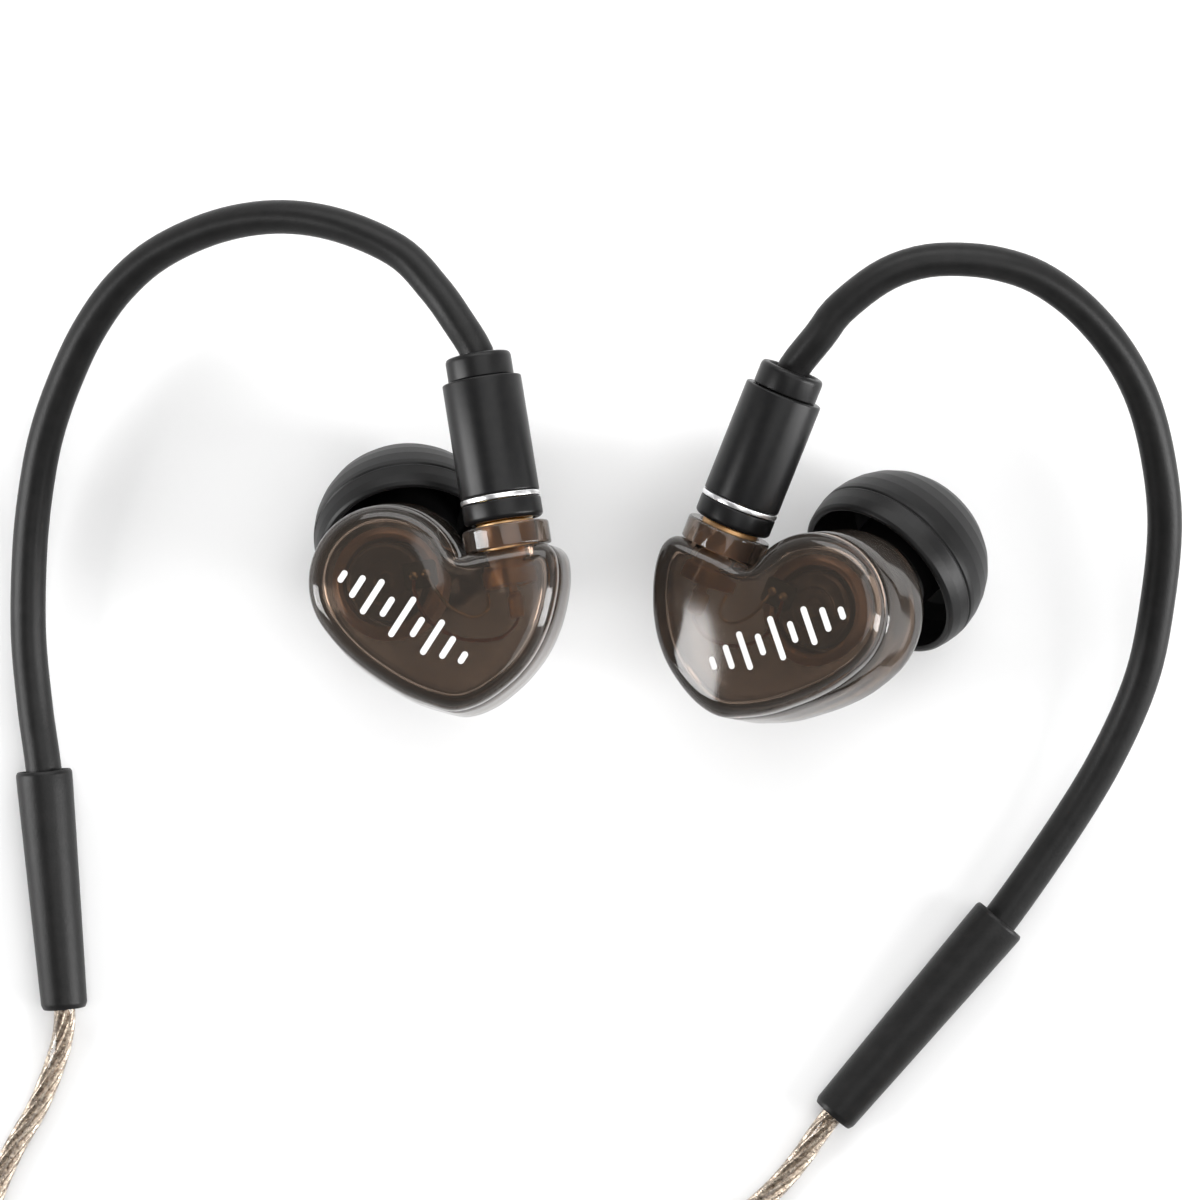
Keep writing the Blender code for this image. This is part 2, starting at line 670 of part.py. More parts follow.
def add_slider():
    start, end = SLIDER_START, SLIDER_START + SLIDER_LENGTH
    stations = [(start, 2.3, 1.3), (start + 0.4, 2.6, 1.58), (end - 0.4, 2.6, 1.58), (end, 2.3, 1.3)]
    slider = flat_loft("chin_slider", stations, black_rubber())
    hole = flat_loft("slider_hole", [(start - 1, 1.75, 0.95), (end + 1, 1.75, 0.95)], black_rubber())
    cut(slider, hole)


def add_coil(name, centre, inner, outer, top, material):
    """The outer shape of a wound coil."""
    soft = 0.7
    low = COIL_BASE
    profile = [
        (inner, low + soft), (inner + soft, low), (outer - soft, low), (outer, low + soft),
        (outer, top - soft), (outer - soft, top), (inner + soft, top), (inner, top - soft),
    ]
    turned(name, profile, material, Matrix.Translation(Vector((*centre, 0.0))), 20)


def add_tie(name, centre, inner, outer, top, degrees):
    """A flat strap closed round one side of a coil."""
    thickness, half, slack = 0.4, 2.0, 0.1
    inside = math.sqrt(inner ** 2 - half ** 2) - slack
    turn = Matrix.Translation(Vector((*centre, 0.0))) @ Matrix.Rotation(math.radians(degrees), 4, "Z")

    def loop(grow, along):
        low, high = COIL_BASE - slack - grow, top + slack + grow
        near, far = inside - grow, outer + slack + grow
        bevel = 0.5
        corners = [
            (near + bevel, low), (far - bevel, low), (far, low + bevel), (far, high - bevel),
            (far - bevel, high), (near + bevel, high), (near, high - bevel), (near, low + bevel),
        ]
        return [turn @ Vector((r, along, z)) for r, z in corners]

    rings = [loop(thickness, -half), loop(thickness, half), loop(0.0, half), loop(0.0, -half)]
    points, faces = stack(rings, loop=True)
    add_solid(name, points, faces, strap_fabric())


def add_cable():
    for ear in EARS:
        tube(ear + "_cable", BRANCH_ROUTES[ear], BRANCH_RADIUS, clear_cable())
        tube(ear + "_cable_tail", BRANCH_TAIL_ROUTES[ear], BRANCH_RADIUS, clear_cable())
    branch = (BRANCH_COIL_CENTRE, BRANCH_COIL_INNER, BRANCH_COIL_OUTER, BRANCH_COIL_TOP)
    main = (MAIN_COIL_CENTRE, MAIN_COIL_INNER, MAIN_COIL_OUTER, MAIN_COIL_TOP)
    add_coil("branch_coil", *branch, clear_cable())
    add_coil("main_coil", *main, clear_cable())
    add_tie("branch_coil_tie", *branch, 20.0)
    add_tie("main_coil_tie", *main, 40.0)
    add_splitter()
    add_slider()
    tube("main_cable_lead", MAIN_LEAD_ROUTE, MAIN_RADIUS, clear_cable(), spacing=1.5)
    tube("jack_cable", PLUG_LEAD_ROUTE, MAIN_RADIUS, clear_cable())


def add_jack():
    """A stereo jack plug, its pin along -X."""
    frame = frame_along((JACK_SHOULDER, JACK_Y, JACK_RADIUS), (-1.0, 0.0, 0.0))
    barrel_end = JACK_SHOULDER - JACK_BARREL_START
    relief_end = JACK_SHOULDER - JACK_RELIEF_START
    r = JACK_RADIUS
    barrel = [
        (r - 0.3, 0.0), (r, -0.3), (r, barrel_end + 0.3), (r - 0.3, barrel_end), (2.2, barrel_end),
        (2.2, 0.0),
    ]
    turned("jack_barrel", barrel, black_metal(), frame, 18)
    relief = [
        (1.15, relief_end), (1.7, relief_end), (2.4, barrel_end - 0.4), (2.4, barrel_end - 0.1),
        (2.05, barrel_end - 0.1), (2.05, barrel_end + 4.0), (1.15, barrel_end + 4.0),
    ]
    turned("jack_strain_relief", relief, black_rubber(), frame, 14)
    core = [
        (0, -6.0), (1.1, -6.0), (1.1, 6.2), (1.7, 6.2), (1.7, 6.9), (0.8, 6.9), (0.8, 8.8), (1.7, 8.8),
        (1.7, 9.5), (0.5, 9.5), (0.5, 12.0), (0, 12.0),
    ]
    turned("jack_insulator", core, insulator(), frame, 12)
    sleeve = [(1.2, -5.0), (2.0, -5.0), (2.0, 0.1), (1.75, 0.1), (1.75, 6.15), (1.2, 6.15)]
    turned("jack_sleeve_contact", sleeve, gold_metal(), frame, 14)
    turned("jack_ring_contact", pipe(0.9, 1.75, 6.95, 8.75), gold_metal(), frame, 14)
    tip = [
        (0.6, 9.55), (1.75, 9.55), (1.75, 10.3), (1.35, 11.2), (1.75, 12.1), (1.3, 13.2), (0.5, 14.0),
        (0, 14.0), (0, 12.1), (0.6, 12.1),
    ]
    turned("jack_tip_contact", tip, gold_metal(), frame, 14)


# ---------------------------------------------------------------- the whole set

def add_ear(ear, place):
    plug = add_empty(ear + "_plug_axis", place.mouth, (place.rise, 0.0, place.lean))
    monitor = add_empty(ear + "_monitor_axis", (0.0, 0.0, 0.0), (0.0, place.turn, 0.0), plug)
    mirror = place.mirror
    add_shell(ear, monitor, mirror)
    add_socket(ear, monitor, mirror)
    add_driver(ear, monitor, mirror)
    add_terminal_board(ear, monitor, mirror)
    add_nozzle_mesh(ear, monitor, mirror)
    add_ear_tip(ear, monitor, mirror)
    add_lock_ring(ear, monitor, mirror)
    add_plug(ear, plug)
    add_hook(ear, place)


def build():
    for ob in list(bpy.data.objects):
        bpy.data.objects.remove(ob, do_unlink=True)
    for ear, place in EARS.items():
        add_ear(ear, place)
    add_cable()
    add_jack()


build()
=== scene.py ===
"""The looks of a pair of in-ear monitors with smoked see-through shells and a clear cable.

Each visible CAD solid is replaced by a finely made piece of the same size in the same place. Lengths
are in millimetres and turned into metres as each mesh is made. An earpiece is made in its own frame:
the origin is the mouth of its cable socket, +Y runs up the plug, +Z is the way that the faceplate
looks, and the lobe with the driver is towards -X. The left ear's pieces are mirrored.
"""

import json
import math

import bmesh
import bpy
from mathutils import Matrix, Vector
from mathutils.bvhtree import BVHTree


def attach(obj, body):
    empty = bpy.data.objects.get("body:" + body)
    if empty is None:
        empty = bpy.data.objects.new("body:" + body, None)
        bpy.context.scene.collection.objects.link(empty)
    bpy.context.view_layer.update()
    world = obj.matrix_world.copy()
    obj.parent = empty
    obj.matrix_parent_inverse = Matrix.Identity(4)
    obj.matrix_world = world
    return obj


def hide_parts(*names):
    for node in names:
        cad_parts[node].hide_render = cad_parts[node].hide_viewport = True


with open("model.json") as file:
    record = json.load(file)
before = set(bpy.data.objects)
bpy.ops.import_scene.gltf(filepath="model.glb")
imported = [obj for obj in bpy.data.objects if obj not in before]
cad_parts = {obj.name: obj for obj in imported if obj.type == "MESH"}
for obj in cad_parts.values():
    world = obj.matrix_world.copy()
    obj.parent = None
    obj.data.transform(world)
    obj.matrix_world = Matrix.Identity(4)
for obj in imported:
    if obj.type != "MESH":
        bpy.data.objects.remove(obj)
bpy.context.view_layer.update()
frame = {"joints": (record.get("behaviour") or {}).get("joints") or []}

JOINTS = {joint["name"]: joint for joint in frame["joints"]}
MM = 0.001
ALONG_PLUG = Matrix.Rotation(math.radians(-90.0), 4, "X")
EARS = ("right_ear", "left_ear")
SHARP_ANGLE = 40.0
MONITOR_TURN = {"right_ear": -9.4, "left_ear": -22.9}

# Shell, in an earpiece's own frame.
LOBE_CENTRE = Vector((-8.3, -2.4, 0.0))
LOBE_RADIUS = 5.1
SHOULDER_AND_BELLY = [
    (-2.6, -1.62), (0.1, -1.55), (2.3, -1.62), (3.0, -1.95), (3.35, -2.75), (3.22, -4.2), (2.75, -5.7),
    (2.05, -7.2), (1.05, -8.65), (-0.25, -9.9), (-1.9, -10.9), (-3.5, -11.5), (-5.1, -11.6), (-6.5, -11.0),
    (-8.05, -10.1), (-9.45, -8.95), (-10.75, -7.7), (-11.9, -6.3),
]
SHELL_HEART = Vector((-5.0, -4.8, 0.0))
OUTLINE_POINTS = 160
WALL = 0.9
FACE_Z = 2.8
FACE_DOME = 0.25
SIDE_TOP_Z = 1.75
SIDE_END_Z = -3.2
FLARE = 0.75
SEAM_Z = 1.1
SOCKET_HOLE_RADIUS = 2.15
SOCKET_LENGTH = 4.0

# Nozzle and ear tip.
TIP_CENTRE = Vector((-8.4, 1.2, -9.3))
NOZZLE_AXIS = Vector((-0.10, 0.70, -0.71)).normalized()
NOZZLE_ROOT = -2.8
NOZZLE_END = 3.8
NOZZLE_RADIUS = 2.3
NOZZLE_BORE = 1.45

# Inside the shell.
DRIVER_RADIUS = 3.75
LEAD_RADIUS = 0.13
WIRE_STEPS = 18

# Ear hooks and sleeves.
HOOK_RADIUS = 1.1
HOOK_END_RADIUS = 1.25
SLEEVES = {
    "right_ear": (Vector((-38.0, -6.9, 1.96)), Vector((-36.6, -23.4, 1.61))),
    "left_ear": (Vector((28.2, -17.2, 1.96)), Vector((16.6, -30.8, 1.61))),
}
HOOK_ROUTES = {
    "right_ear": [
        (-9.0, 23.5, 16.0), (-10.5, 25.6, 15.5), (-12.9, 28.1, 14.8), (-16.9, 29.95, 13.7),
        (-21.0, 30.65, 12.3), (-25.2, 30.15, 10.8), (-29.3, 28.5, 9.2), (-32.2, 26.2, 8.0),
        (-34.4, 23.3, 6.9), (-36.1, 20.0, 5.8), (-37.4, 16.6, 4.9), (-38.2, 13.2, 4.1),
        (-38.8, 8.7, 3.3), (-39.0, 2.8, 2.6), (-38.6, -2.4, 2.1),
    ],
    "left_ear": [
        (15.2, 22.6, 14.2), (16.5, 24.3, 14.6), (19.2, 26.4, 15.1), (21.8, 27.4, 15.3),
        (24.5, 27.6, 15.2), (27.2, 27.3, 14.8), (29.9, 26.4, 14.1), (32.7, 24.5, 13.1),
        (35.3, 21.7, 11.8), (37.2, 18.4, 10.4), (38.4, 14.4, 8.9), (39.0, 10.0, 7.3),
        (38.7, 4.9, 5.7), (37.8, -0.3, 4.3), (35.7, -5.5, 3.2), (32.7, -10.7, 2.4),
    ],
}

# Cable. The branches run side by side as a ribbon through their coil and on to the splitter.
BRANCH_RADIUS = 0.75
CORD_DEPTH = 2.5  # how far a cable runs into its fitting
MAIN_RADIUS = 1.0
BRANCH_SPACING = 0.4  # between the rings of a branch cable
MAIN_SPACING = 0.5
BRANCH_ROUTES = {
    "right_ear": [
        (-36.6, -23.5, 1.55), (-36.75, -25.2, 1.1), (-37.3, -27.2, 0.82), (-38.5, -30.2, 0.78),
        (-40.4, -33.6, 0.78), (-41.9, -37.5, 0.78), (-42.2, -41.5, 0.78), (-41.3, -45.5, 0.78),
        (-39.4, -49.2, 0.78), (-38.1, -52.3, 0.85),
    ],
    "left_ear": [
        (16.5, -30.9, 1.55), (15.5, -32.3, 1.1), (14.2, -34.2, 0.82), (12.0, -36.6, 0.78),
        (8.4, -39.4, 0.78), (3.6, -41.2, 0.78), (-2.4, -41.3, 0.78), (-9.0, -40.3, 0.78),
        (-14.6, -39.6, 0.85),
    ],
}
BRANCH_COIL_CENTRE = Vector((-23.0, -54.0, 0.0))
BRANCH_COIL_JOIN = 185.0
BRANCH_COIL_TURN_IN = 2.0
BRANCH_CLIMB = 0.16  # the share of a turn in which the cable rises to the next layer
BRANCH_LAYER_Z = (1.25, 2.75)
LEFT_APPROACH_START = 75
LEFT_APPROACH_RADIUS = 14.55
RIBBON_PITCH = 3.0
RIBBON_OUTER = 13.8
RIBBON_EXIT = 12.0
TAIL_Y = {"right_ear": -66.75, "left_ear": -65.25}
TAIL_X_Z = ((-15.6, 2.15), (-13.4, 1.75), (-11.0, 1.6), (-6.0, 1.6), (0.0, 1.6), (10.5, 1.6))
MAIN_COIL_CENTRE = Vector((32.0, -54.0, 0.0))
MAIN_COIL_BASE = 1.5
MAIN_COIL_OUTER = 13.0
MAIN_COIL_PITCH = 2.0
MAIN_COIL_LAYERS = 4
MAIN_LAYER_TURNS = 3
MAIN_CLIMB = 0.12
MAIN_LEAD_ROUTE = [
    (17.8, -66.0, 1.6), (20.3, -66.05, 1.6), (21.8, -66.3, 1.6), (24.5, -66.65, 1.55), (28.0, -66.95, 1.5),
]
PLUG_LEAD_ROUTE = [
    (37.0, -67.2, 7.2), (40.9, -67.5, 6.2), (43.9, -69.0, 4.6), (46.4, -71.7, 2.6), (47.4, -75.0, 1.3),
    (46.2, -78.8, 1.1), (42.6, -81.4, 1.5), (38.6, -82.4, 2.4), (35.4, -82.5, 3.1), (33.4, -82.5, 3.3),
    (31.0, -82.5, 3.3),
]
SPLITTER_START = 8.0
SPLITTER_END = 20.0
SLIDER_START = 1.0
SLIDER_LENGTH = 5.0
RIBBON_CENTRE = (-66.0, 1.6)
RIBBON_BORE = (1.75, 0.95)
STRAND_COUNT = 6
STRAND_PITCH = 11.0
STRAND_DIP = 0.34  # how far the grooves reach in, as a share of the bundle's radius
BUNDLE_SHARE = 0.76  # the bundle's radius as a share of the jacket's

# Jack plug.
JACK_Y = -82.5
JACK_RADIUS = 3.3
JACK_RELIEF_START = 33.1
JACK_BARREL_START = 23.0
JACK_SHOULDER = 4.0

# Camera: straight above the set.
VIEW_CENTRE = (0.5, 4.9)
CAMERA_HEIGHT = 355.0
LENS = 153.0
SENSOR_WIDTH = 36.0

# Studio: each softbox has its place and size in metres and its power in watts.
SOFTBOXES = {
    "softbox_top": ((0.20, 0.10, 0.90), (0.80, 0.80), 4.0),
    "softbox_back": ((0.05, 0.70, 0.55), (1.20, 0.50), 6.5),
    "softbox_right": ((0.50, -0.12, 0.22), (0.16, 0.50), 3.2),
    "softbox_left": ((-0.50, -0.05, 0.16), (0.14, 0.45), 2.4),
}
SOFTBOX_TARGET = (0.0, 0.0, 0.01)
FLOOR_HALF = 1500.0

# The part of its range that a noise mostly keeps to.
NOISE_RANGE = (0.3, 0.7)


# ---------------------------------------------------------------- finishes

def surface(name, colour, shade, roughness, grain, bump=0.0, colour_grain=None, **sockets):
    """A Principled finish. A noise mixes colour and shade, and a finer one, grain (per metre), moves the
    roughness between its two values and raises the surface by bump (metres)."""
    material = bpy.data.materials.new(name)
    material.use_nodes = True
    nodes, links = material.node_tree.nodes, material.node_tree.links
    shader = nodes["Principled BSDF"]
    place = nodes.new("ShaderNodeTexCoord")

    def noise(scale, detail):
        node = nodes.new("ShaderNodeTexNoise")
        node.inputs["Scale"].default_value = scale
        node.inputs["Detail"].default_value = detail
        links.new(place.outputs["Object"], node.inputs["Vector"])
        return node.outputs["Fac"]

    blend = nodes.new("ShaderNodeMix")
    blend.data_type = "RGBA"
    blend.inputs["A"].default_value = (*colour, 1.0)
    blend.inputs["B"].default_value = (*shade, 1.0)
    contrast = nodes.new("ShaderNodeMapRange")
    contrast.inputs["From Min"].default_value = NOISE_RANGE[0]
    contrast.inputs["From Max"].default_value = NOISE_RANGE[1]
    links.new(noise(colour_grain or grain / 6.0, 3.0), contrast.inputs["Value"])
    links.new(contrast.outputs["Result"], blend.inputs["Factor"])
    links.new(blend.outputs["Result"], shader.inputs["Base Color"])
    fine = noise(grain, 4.0)
    spread = nodes.new("ShaderNodeMapRange")
    spread.inputs["To Min"].default_value = roughness[0]
    spread.inputs["To Max"].default_value = roughness[1]
    links.new(fine, spread.inputs["Value"])
    links.new(spread.outputs["Result"], shader.inputs["Roughness"])
    if bump:
        relief = nodes.new("ShaderNodeBump")
        relief.inputs["Strength"].default_value = 1.0
        relief.inputs["Distance"].default_value = bump
        links.new(fine, relief.inputs["Height"])
        links.new(relief.outputs["Normal"], shader.inputs["Normal"])
    for socket, value in sockets.items():
        shader.inputs[socket.replace("_", " ")].default_value = value
    return material


def with_absorption(material, colour, density):
    """Adds an even tint that deepens with the thickness of the plastic."""
    nodes, links = material.node_tree.nodes, material.node_tree.links
    inside = nodes.new("ShaderNodeVolumeAbsorption")
    inside.inputs["Color"].default_value = (*colour, 1.0)
    inside.inputs["Density"].default_value = density
    links.new(inside.outputs["Volume"], nodes["Material Output"].inputs["Volume"])
    return material


def make_finishes():
    """Every material, by the record's slot that it stands for."""
    clear = {"Transmission_Weight": 1.0, "IOR": 1.48}
    milky = {"Transmission_Weight": 0.94, "IOR": 1.49}
    dull = {"Specular_IOR_Level": 0.24}
    return {
        "smoked_shell": with_absorption(
            surface("smoked_shell", (0.43, 0.37, 0.32), (0.36, 0.305, 0.26), (0.07, 0.09), 150,
                    colour_grain=160, **milky), (0.49, 0.39, 0.32), 720.0),
        "clear_cable": surface("clear_jacket", (0.95, 0.93, 0.90), (0.90, 0.87, 0.82), (0.03, 0.09), 1800,
                               bump=0.000004, **clear),
        "strands": surface("strands", (0.76, 0.67, 0.57), (0.24, 0.18, 0.14), (0.20, 0.38), 5200,
                           bump=0.00003, colour_grain=4200, Metallic=0.9),
        "black_anodised": surface("black_anodised", (0.006, 0.006, 0.0065), (0.009, 0.0088, 0.0088),
                                  (0.30, 0.38), 9000, bump=0.0000015, **dull),
        "silver_trim": surface("silver_trim", (0.95, 0.95, 0.95), (0.88, 0.88, 0.89), (0.26, 0.34), 6000,
                               Metallic=1.0),
        "gold_contact": surface("gold_contact", (0.90, 0.68, 0.34), (0.78, 0.52, 0.22), (0.10, 0.22), 5000,
                                Metallic=1.0),
        "inner_gold": surface("inner_gold", (0.95, 0.60, 0.30), (0.85, 0.48, 0.20), (0.35, 0.5), 4000,
                              Metallic=0.6),
        "insulator": surface("insulator", (0.84, 0.82, 0.77), (0.76, 0.73, 0.66), (0.35, 0.5), 5000),
        "black_insulator": surface("black_insulator", (0.02, 0.02, 0.02), (0.03, 0.03, 0.03), (0.3, 0.45),
                                   5000),
        "driver_can": surface("driver_can", (0.85, 0.60, 0.44), (0.66, 0.45, 0.32), (0.28, 0.42), 4000,
                              Metallic=0.6),
        "driver_magnet": surface("driver_magnet", (0.30, 0.26, 0.23), (0.22, 0.19, 0.17), (0.25, 0.4), 5000,
                                 Metallic=0.7),
        "driver_film": surface("driver_film", (0.60, 0.42, 0.26), (0.50, 0.34, 0.20), (0.25, 0.4), 3000),
        "circuit_board": surface("circuit_board", (0.06, 0.07, 0.05), (0.09, 0.10, 0.07), (0.3, 0.45), 6000),
        "steel_mesh": surface("steel_mesh", (0.68, 0.67, 0.66), (0.5, 0.49, 0.48), (0.2, 0.35), 6000,
                              Metallic=1.0),
        "silicone": surface("silicone", (0.005, 0.005, 0.0053), (0.008, 0.0077, 0.0077), (0.36, 0.44), 3500,
                            bump=0.000003, **dull),
        "black_tube": surface("black_tube", (0.006, 0.006, 0.006), (0.010, 0.0097, 0.0097), (0.36, 0.46),
                              5200, bump=0.000012, **dull),
        "strap": surface("strap", (0.020, 0.020, 0.021), (0.045, 0.044, 0.044), (0.75, 0.95), 3800,
                         bump=0.00009),
        "print": surface("white_print", (0.88, 0.87, 0.86), (0.80, 0.79, 0.78), (0.35, 0.5), 4000),
        "solder": surface("solder", (0.86, 0.72, 0.50), (0.74, 0.60, 0.40), (0.15, 0.3), 5000, Metallic=1.0),
        "enamel": surface("enamel", (0.42, 0.12, 0.05), (0.32, 0.09, 0.04), (0.2, 0.35), 4000),
        "floor": surface("floor", (0.93, 0.93, 0.93), (0.91, 0.91, 0.91), (0.7, 0.8), 300),
    }


# ---------------------------------------------------------------- meshes

def mesh_from(name, points, faces, place, smooth_angle):
    """A mesh from points in millimetres, placed in the world in metres, with its faces outwards."""
    mesh = bpy.data.meshes.new(name)
    mesh.from_pydata([MM * (place @ Vector(p)) for p in points], [], faces)
    body = bmesh.new()
    body.from_mesh(mesh)
    bmesh.ops.recalc_face_normals(body, faces=body.faces)
    body.to_mesh(mesh)
    body.free()
    mesh.shade_smooth()
    mesh.set_sharp_from_angle(angle=math.radians(smooth_angle))
    return mesh


def add_object(name, data):
    item = bpy.data.objects.new(name, data)
    bpy.context.scene.collection.objects.link(item)
    return item


def add_piece(name, points, faces, slot, body, place=Matrix.Identity(4), nodes=None, finish=None,
              angle=SHARP_ANGLE):
    """One visible piece that rides on a body, with a slot's finish or another, and stands for its CAD
    nodes: the one of its own name, unless nodes are given."""
    mesh = mesh_from(name, points, faces, place, angle)
    piece = add_object(name + "_piece", mesh)
    mesh.materials.append(FINISHES[finish or slot])
    nodes = [name] if nodes is None else nodes
    if nodes:
        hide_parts(*nodes)
    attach(piece, body)
    return piece


def joined(shapes):
    """The points and faces of several shapes as one."""
    points, faces = [], []
    for more_points, more_faces in shapes:
        faces += [tuple(i + len(points) for i in face) for face in more_faces]
        points += more_points
    return points, faces


def stack(rings, loop=False):
    """Points and faces of rings joined in turn. A loop joins the last ring to the first; otherwise
    each end is closed by a face, or by a fan where it is a single point."""
    points = [point for ring in rings for point in ring]
    starts = [0]
    for ring in rings:
        starts.append(starts[-1] + len(ring))
    pairs = list(zip(range(len(rings) - 1), range(1, len(rings))))
    if loop:
        pairs.append((len(rings) - 1, 0))
    faces = []
    for low, high in pairs:
        size = max(len(rings[low]), len(rings[high]))
        for i in range(size):
            j = (i + 1) % size
            corners = [starts[low] + i % len(rings[low]), starts[low] + j % len(rings[low])]
            corners += [starts[high] + j % len(rings[high]), starts[high] + i % len(rings[high])]
            faces.append(tuple(dict.fromkeys(corners)))
    if not loop:
        for end in (0, len(rings) - 1):
            if len(rings[end]) > 1:
                faces.append(tuple(range(starts[end], starts[end + 1])))
    return points, faces


def circle(radius, height, segments):
    """Points round the Z axis, or the one point on it."""
    if radius == 0:
        return [Vector((0.0, 0.0, height))]
    turns = [2 * math.pi * i / segments for i in range(segments)]
    return [Vector((radius * math.cos(a), radius * math.sin(a), height)) for a in turns]


def softened(profile, fillet, steps=4):
    """A profile with its corners rounded, apart from those on the axis."""
    loop = profile[0][0] > 0 and profile[-1][0] > 0
    size = len(profile)
    soft = []
    for i, (radius, height) in enumerate(profile):
        here = Vector((radius, height))
        if radius == 0 or (not loop and i in (0, size - 1)):
            soft.append(here)
            continue
        before = Vector(profile[i - 1]) - here
        after = Vector(profile[(i + 1) % size]) - here
        start = here + before.normalized() * min(fillet, before.length * 0.45)
        end = here + after.normalized() * min(fillet, after.length * 0.45)
        for k in range(steps + 1):
            t = k / steps
            soft.append(start * (1 - t) ** 2 + here * 2 * t * (1 - t) + end * t ** 2)
    return [(p.x, p.y) for p in soft]


def turned(profile, axis=Matrix.Identity(4), segments=64, fillet=0.08):
    """A profile of (radius, height) with softened corners, turned round an axis."""
    soft = softened(profile, fillet)
    rings = [[axis @ p for p in circle(radius, height, segments)] for radius, height in soft]
    return stack(rings, loop=soft[0][0] > 0 and soft[-1][0] > 0)


def add_turned(name, profile, slot, body, axis, segments=64, fillet=0.08, **options):
    """One visible turned piece; the options are those of add_piece."""
    points, faces = turned(profile, axis, segments, fillet)
    return add_piece(name, points, faces, slot, body, **options)


def pipe(inner, outer, start, end):
    return [(outer, start), (outer, end), (inner, end), (inner, start)]


def disc(radius, start, end):
    return [(0, start), (radius, start), (radius, end), (0, end)]


def frame_along(origin, direction):
    turn = Vector(direction).to_track_quat("Z", "Y").to_matrix().to_4x4()
    return Matrix.Translation(Vector(origin)) @ turn


def catmull_rom(a, b, c, d, t):
    """The point at t, from 0 at b to 1 at c, on the smooth curve through a, b, c and d."""
    bend = 2 * a - 5 * b + 4 * c - d
    twist = 3 * b - a - 3 * c + d
    return 0.5 * (2 * b + (c - a) * t + bend * t * t + twist * t ** 3)


def smooth_curve(points, spacing=None, count=None, closed=False):
    """A smooth curve through points, as evenly spaced points."""
    points = [Vector(p) for p in points]
    size = len(points)
    fine = []
    for i in range(size if closed else size - 1):
        if closed:
            a, b, c, d = (points[(i + k) % size] for k in (-1, 0, 1, 2))
        else:
            b, c = points[i], points[i + 1]
            a = points[i - 1] if i else 2 * b - c
            d = points[i + 2] if i + 2 < size else 2 * c - b
        fine += [catmull_rom(a, b, c, d, k / 16) for k in range(16)]
    fine.append(points[0] if closed else points[-1])
    travelled = [0.0]
    for before, after in zip(fine, fine[1:]):
        travelled.append(travelled[-1] + (after - before).length)
    steps = count or max(2, round(travelled[-1] / spacing))
    even, k = [], 0
    for i in range(steps if closed else steps + 1):
        goal = travelled[-1] * i / steps
        while k < len(fine) - 2 and travelled[k + 1] < goal:
            k += 1
        share = (goal - travelled[k]) / (travelled[k + 1] - travelled[k])
        even.append(fine[k].lerp(fine[k + 1], min(1.0, share)))
    return even


def swept(path, section):
    """A body along a path: section(i, angle) gives its radius there, at angles counted by section."""
    tangents = []
    for i in range(len(path)):
        tangents.append((path[min(i + 1, len(path) - 1)] - path[max(i - 1, 0)]).normalized())
    across = tangents[0].orthogonal().normalized()
    rings = []
    for i, (point, tangent) in enumerate(zip(path, tangents)):
        across = (across - tangent * across.dot(tangent)).normalized()
        other = tangent.cross(across)
        ring = []
        for angle, radius in section(i):
            ring.append(point + across * (radius * math.cos(angle)) + other * (radius * math.sin(angle)))
        rings.append(ring)
    return stack(rings)


def round_section(radius_at, sides=24):
    return lambda i: [(2 * math.pi * k / sides, radius_at(i)) for k in range(sides)]


# ---------------------------------------------------------------- places

def plug_frame(ear):
    """The plug's frame in the world: +Y up its axis, from the mouth of the socket."""
    joint = JOINTS[ear + "_swivel"]
    axis = Vector(joint["axis"]).normalized()
    lean = Matrix.Rotation(math.atan2(-axis.x, axis.y), 4, "Z")
    rise = Matrix.Rotation(math.asin(axis.z), 4, "X")
    return Matrix.Translation(Vector(joint["pos_m"]) / MM) @ lean @ rise


def monitor_frame(ear):
    """The earpiece's frame in the world, mirrored for the left ear."""
    turn = Matrix.Rotation(math.radians(MONITOR_TURN[ear]), 4, "Y")
    mirror = Matrix.Scale(-1.0 if ear == "left_ear" else 1.0, 4, (1.0, 0.0, 0.0))
    return plug_frame(ear) @ turn @ mirror


# ---------------------------------------------------------------- shell

def shell_outline():
    arc = []
    for degrees in range(205, 2, -15):
        angle = math.radians(degrees)
        arc.append(LOBE_CENTRE + LOBE_RADIUS * Vector((math.cos(angle), math.sin(angle), 0.0)))
    notch = Vector((arc[-1].x + 0.15, -1.75, 0.0))
    route = [notch] + [Vector((x, y, 0.0)) for x, y in SHOULDER_AND_BELLY] + arc
    return smooth_curve(route, count=OUTLINE_POINTS, closed=True)


def outward(ring, i):
    """The way out of a closed ring at one of its points."""
    along = (ring[(i + 1) % len(ring)] - ring[i - 1]).normalized()
    return Vector((along.y, -along.x, 0.0)) * (1 if TURNS_LEFT else -1)


def inset_ring(ring, distance, step=0.06):
    """A closed ring moved inwards in small steps. Its points are evened out as it goes, so that it
    doesn't cross itself at a corner."""
    ring = list(ring)
    size = len(ring)
    steps = max(1, math.ceil(distance / step))
    for _ in range(steps):
        moved = []
        for i, point in enumerate(ring):
            even = (ring[(i + 1) % size] + ring[i - 1]) / 2 - point
            moved.append(point - outward(ring, i) * (distance / steps) + even * 0.4)
        ring = moved
    return ring


def flare_weights(outline):
    weights = []
    for point in outline:
        by_side = min(1.0, max(0.0, -point.x / 12.0))
        by_notch = min(1.0, (point - outline[0]).length / 4.0)
        weights.append(by_side * by_notch)
    return weights


OUTLINE = shell_outline()
AREA = sum(a.x * b.y - b.x * a.y for a, b in zip(OUTLINE, OUTLINE[1:] + OUTLINE[:1]))
TURNS_LEFT = AREA > 0
WEIGHTS = flare_weights(OUTLINE)


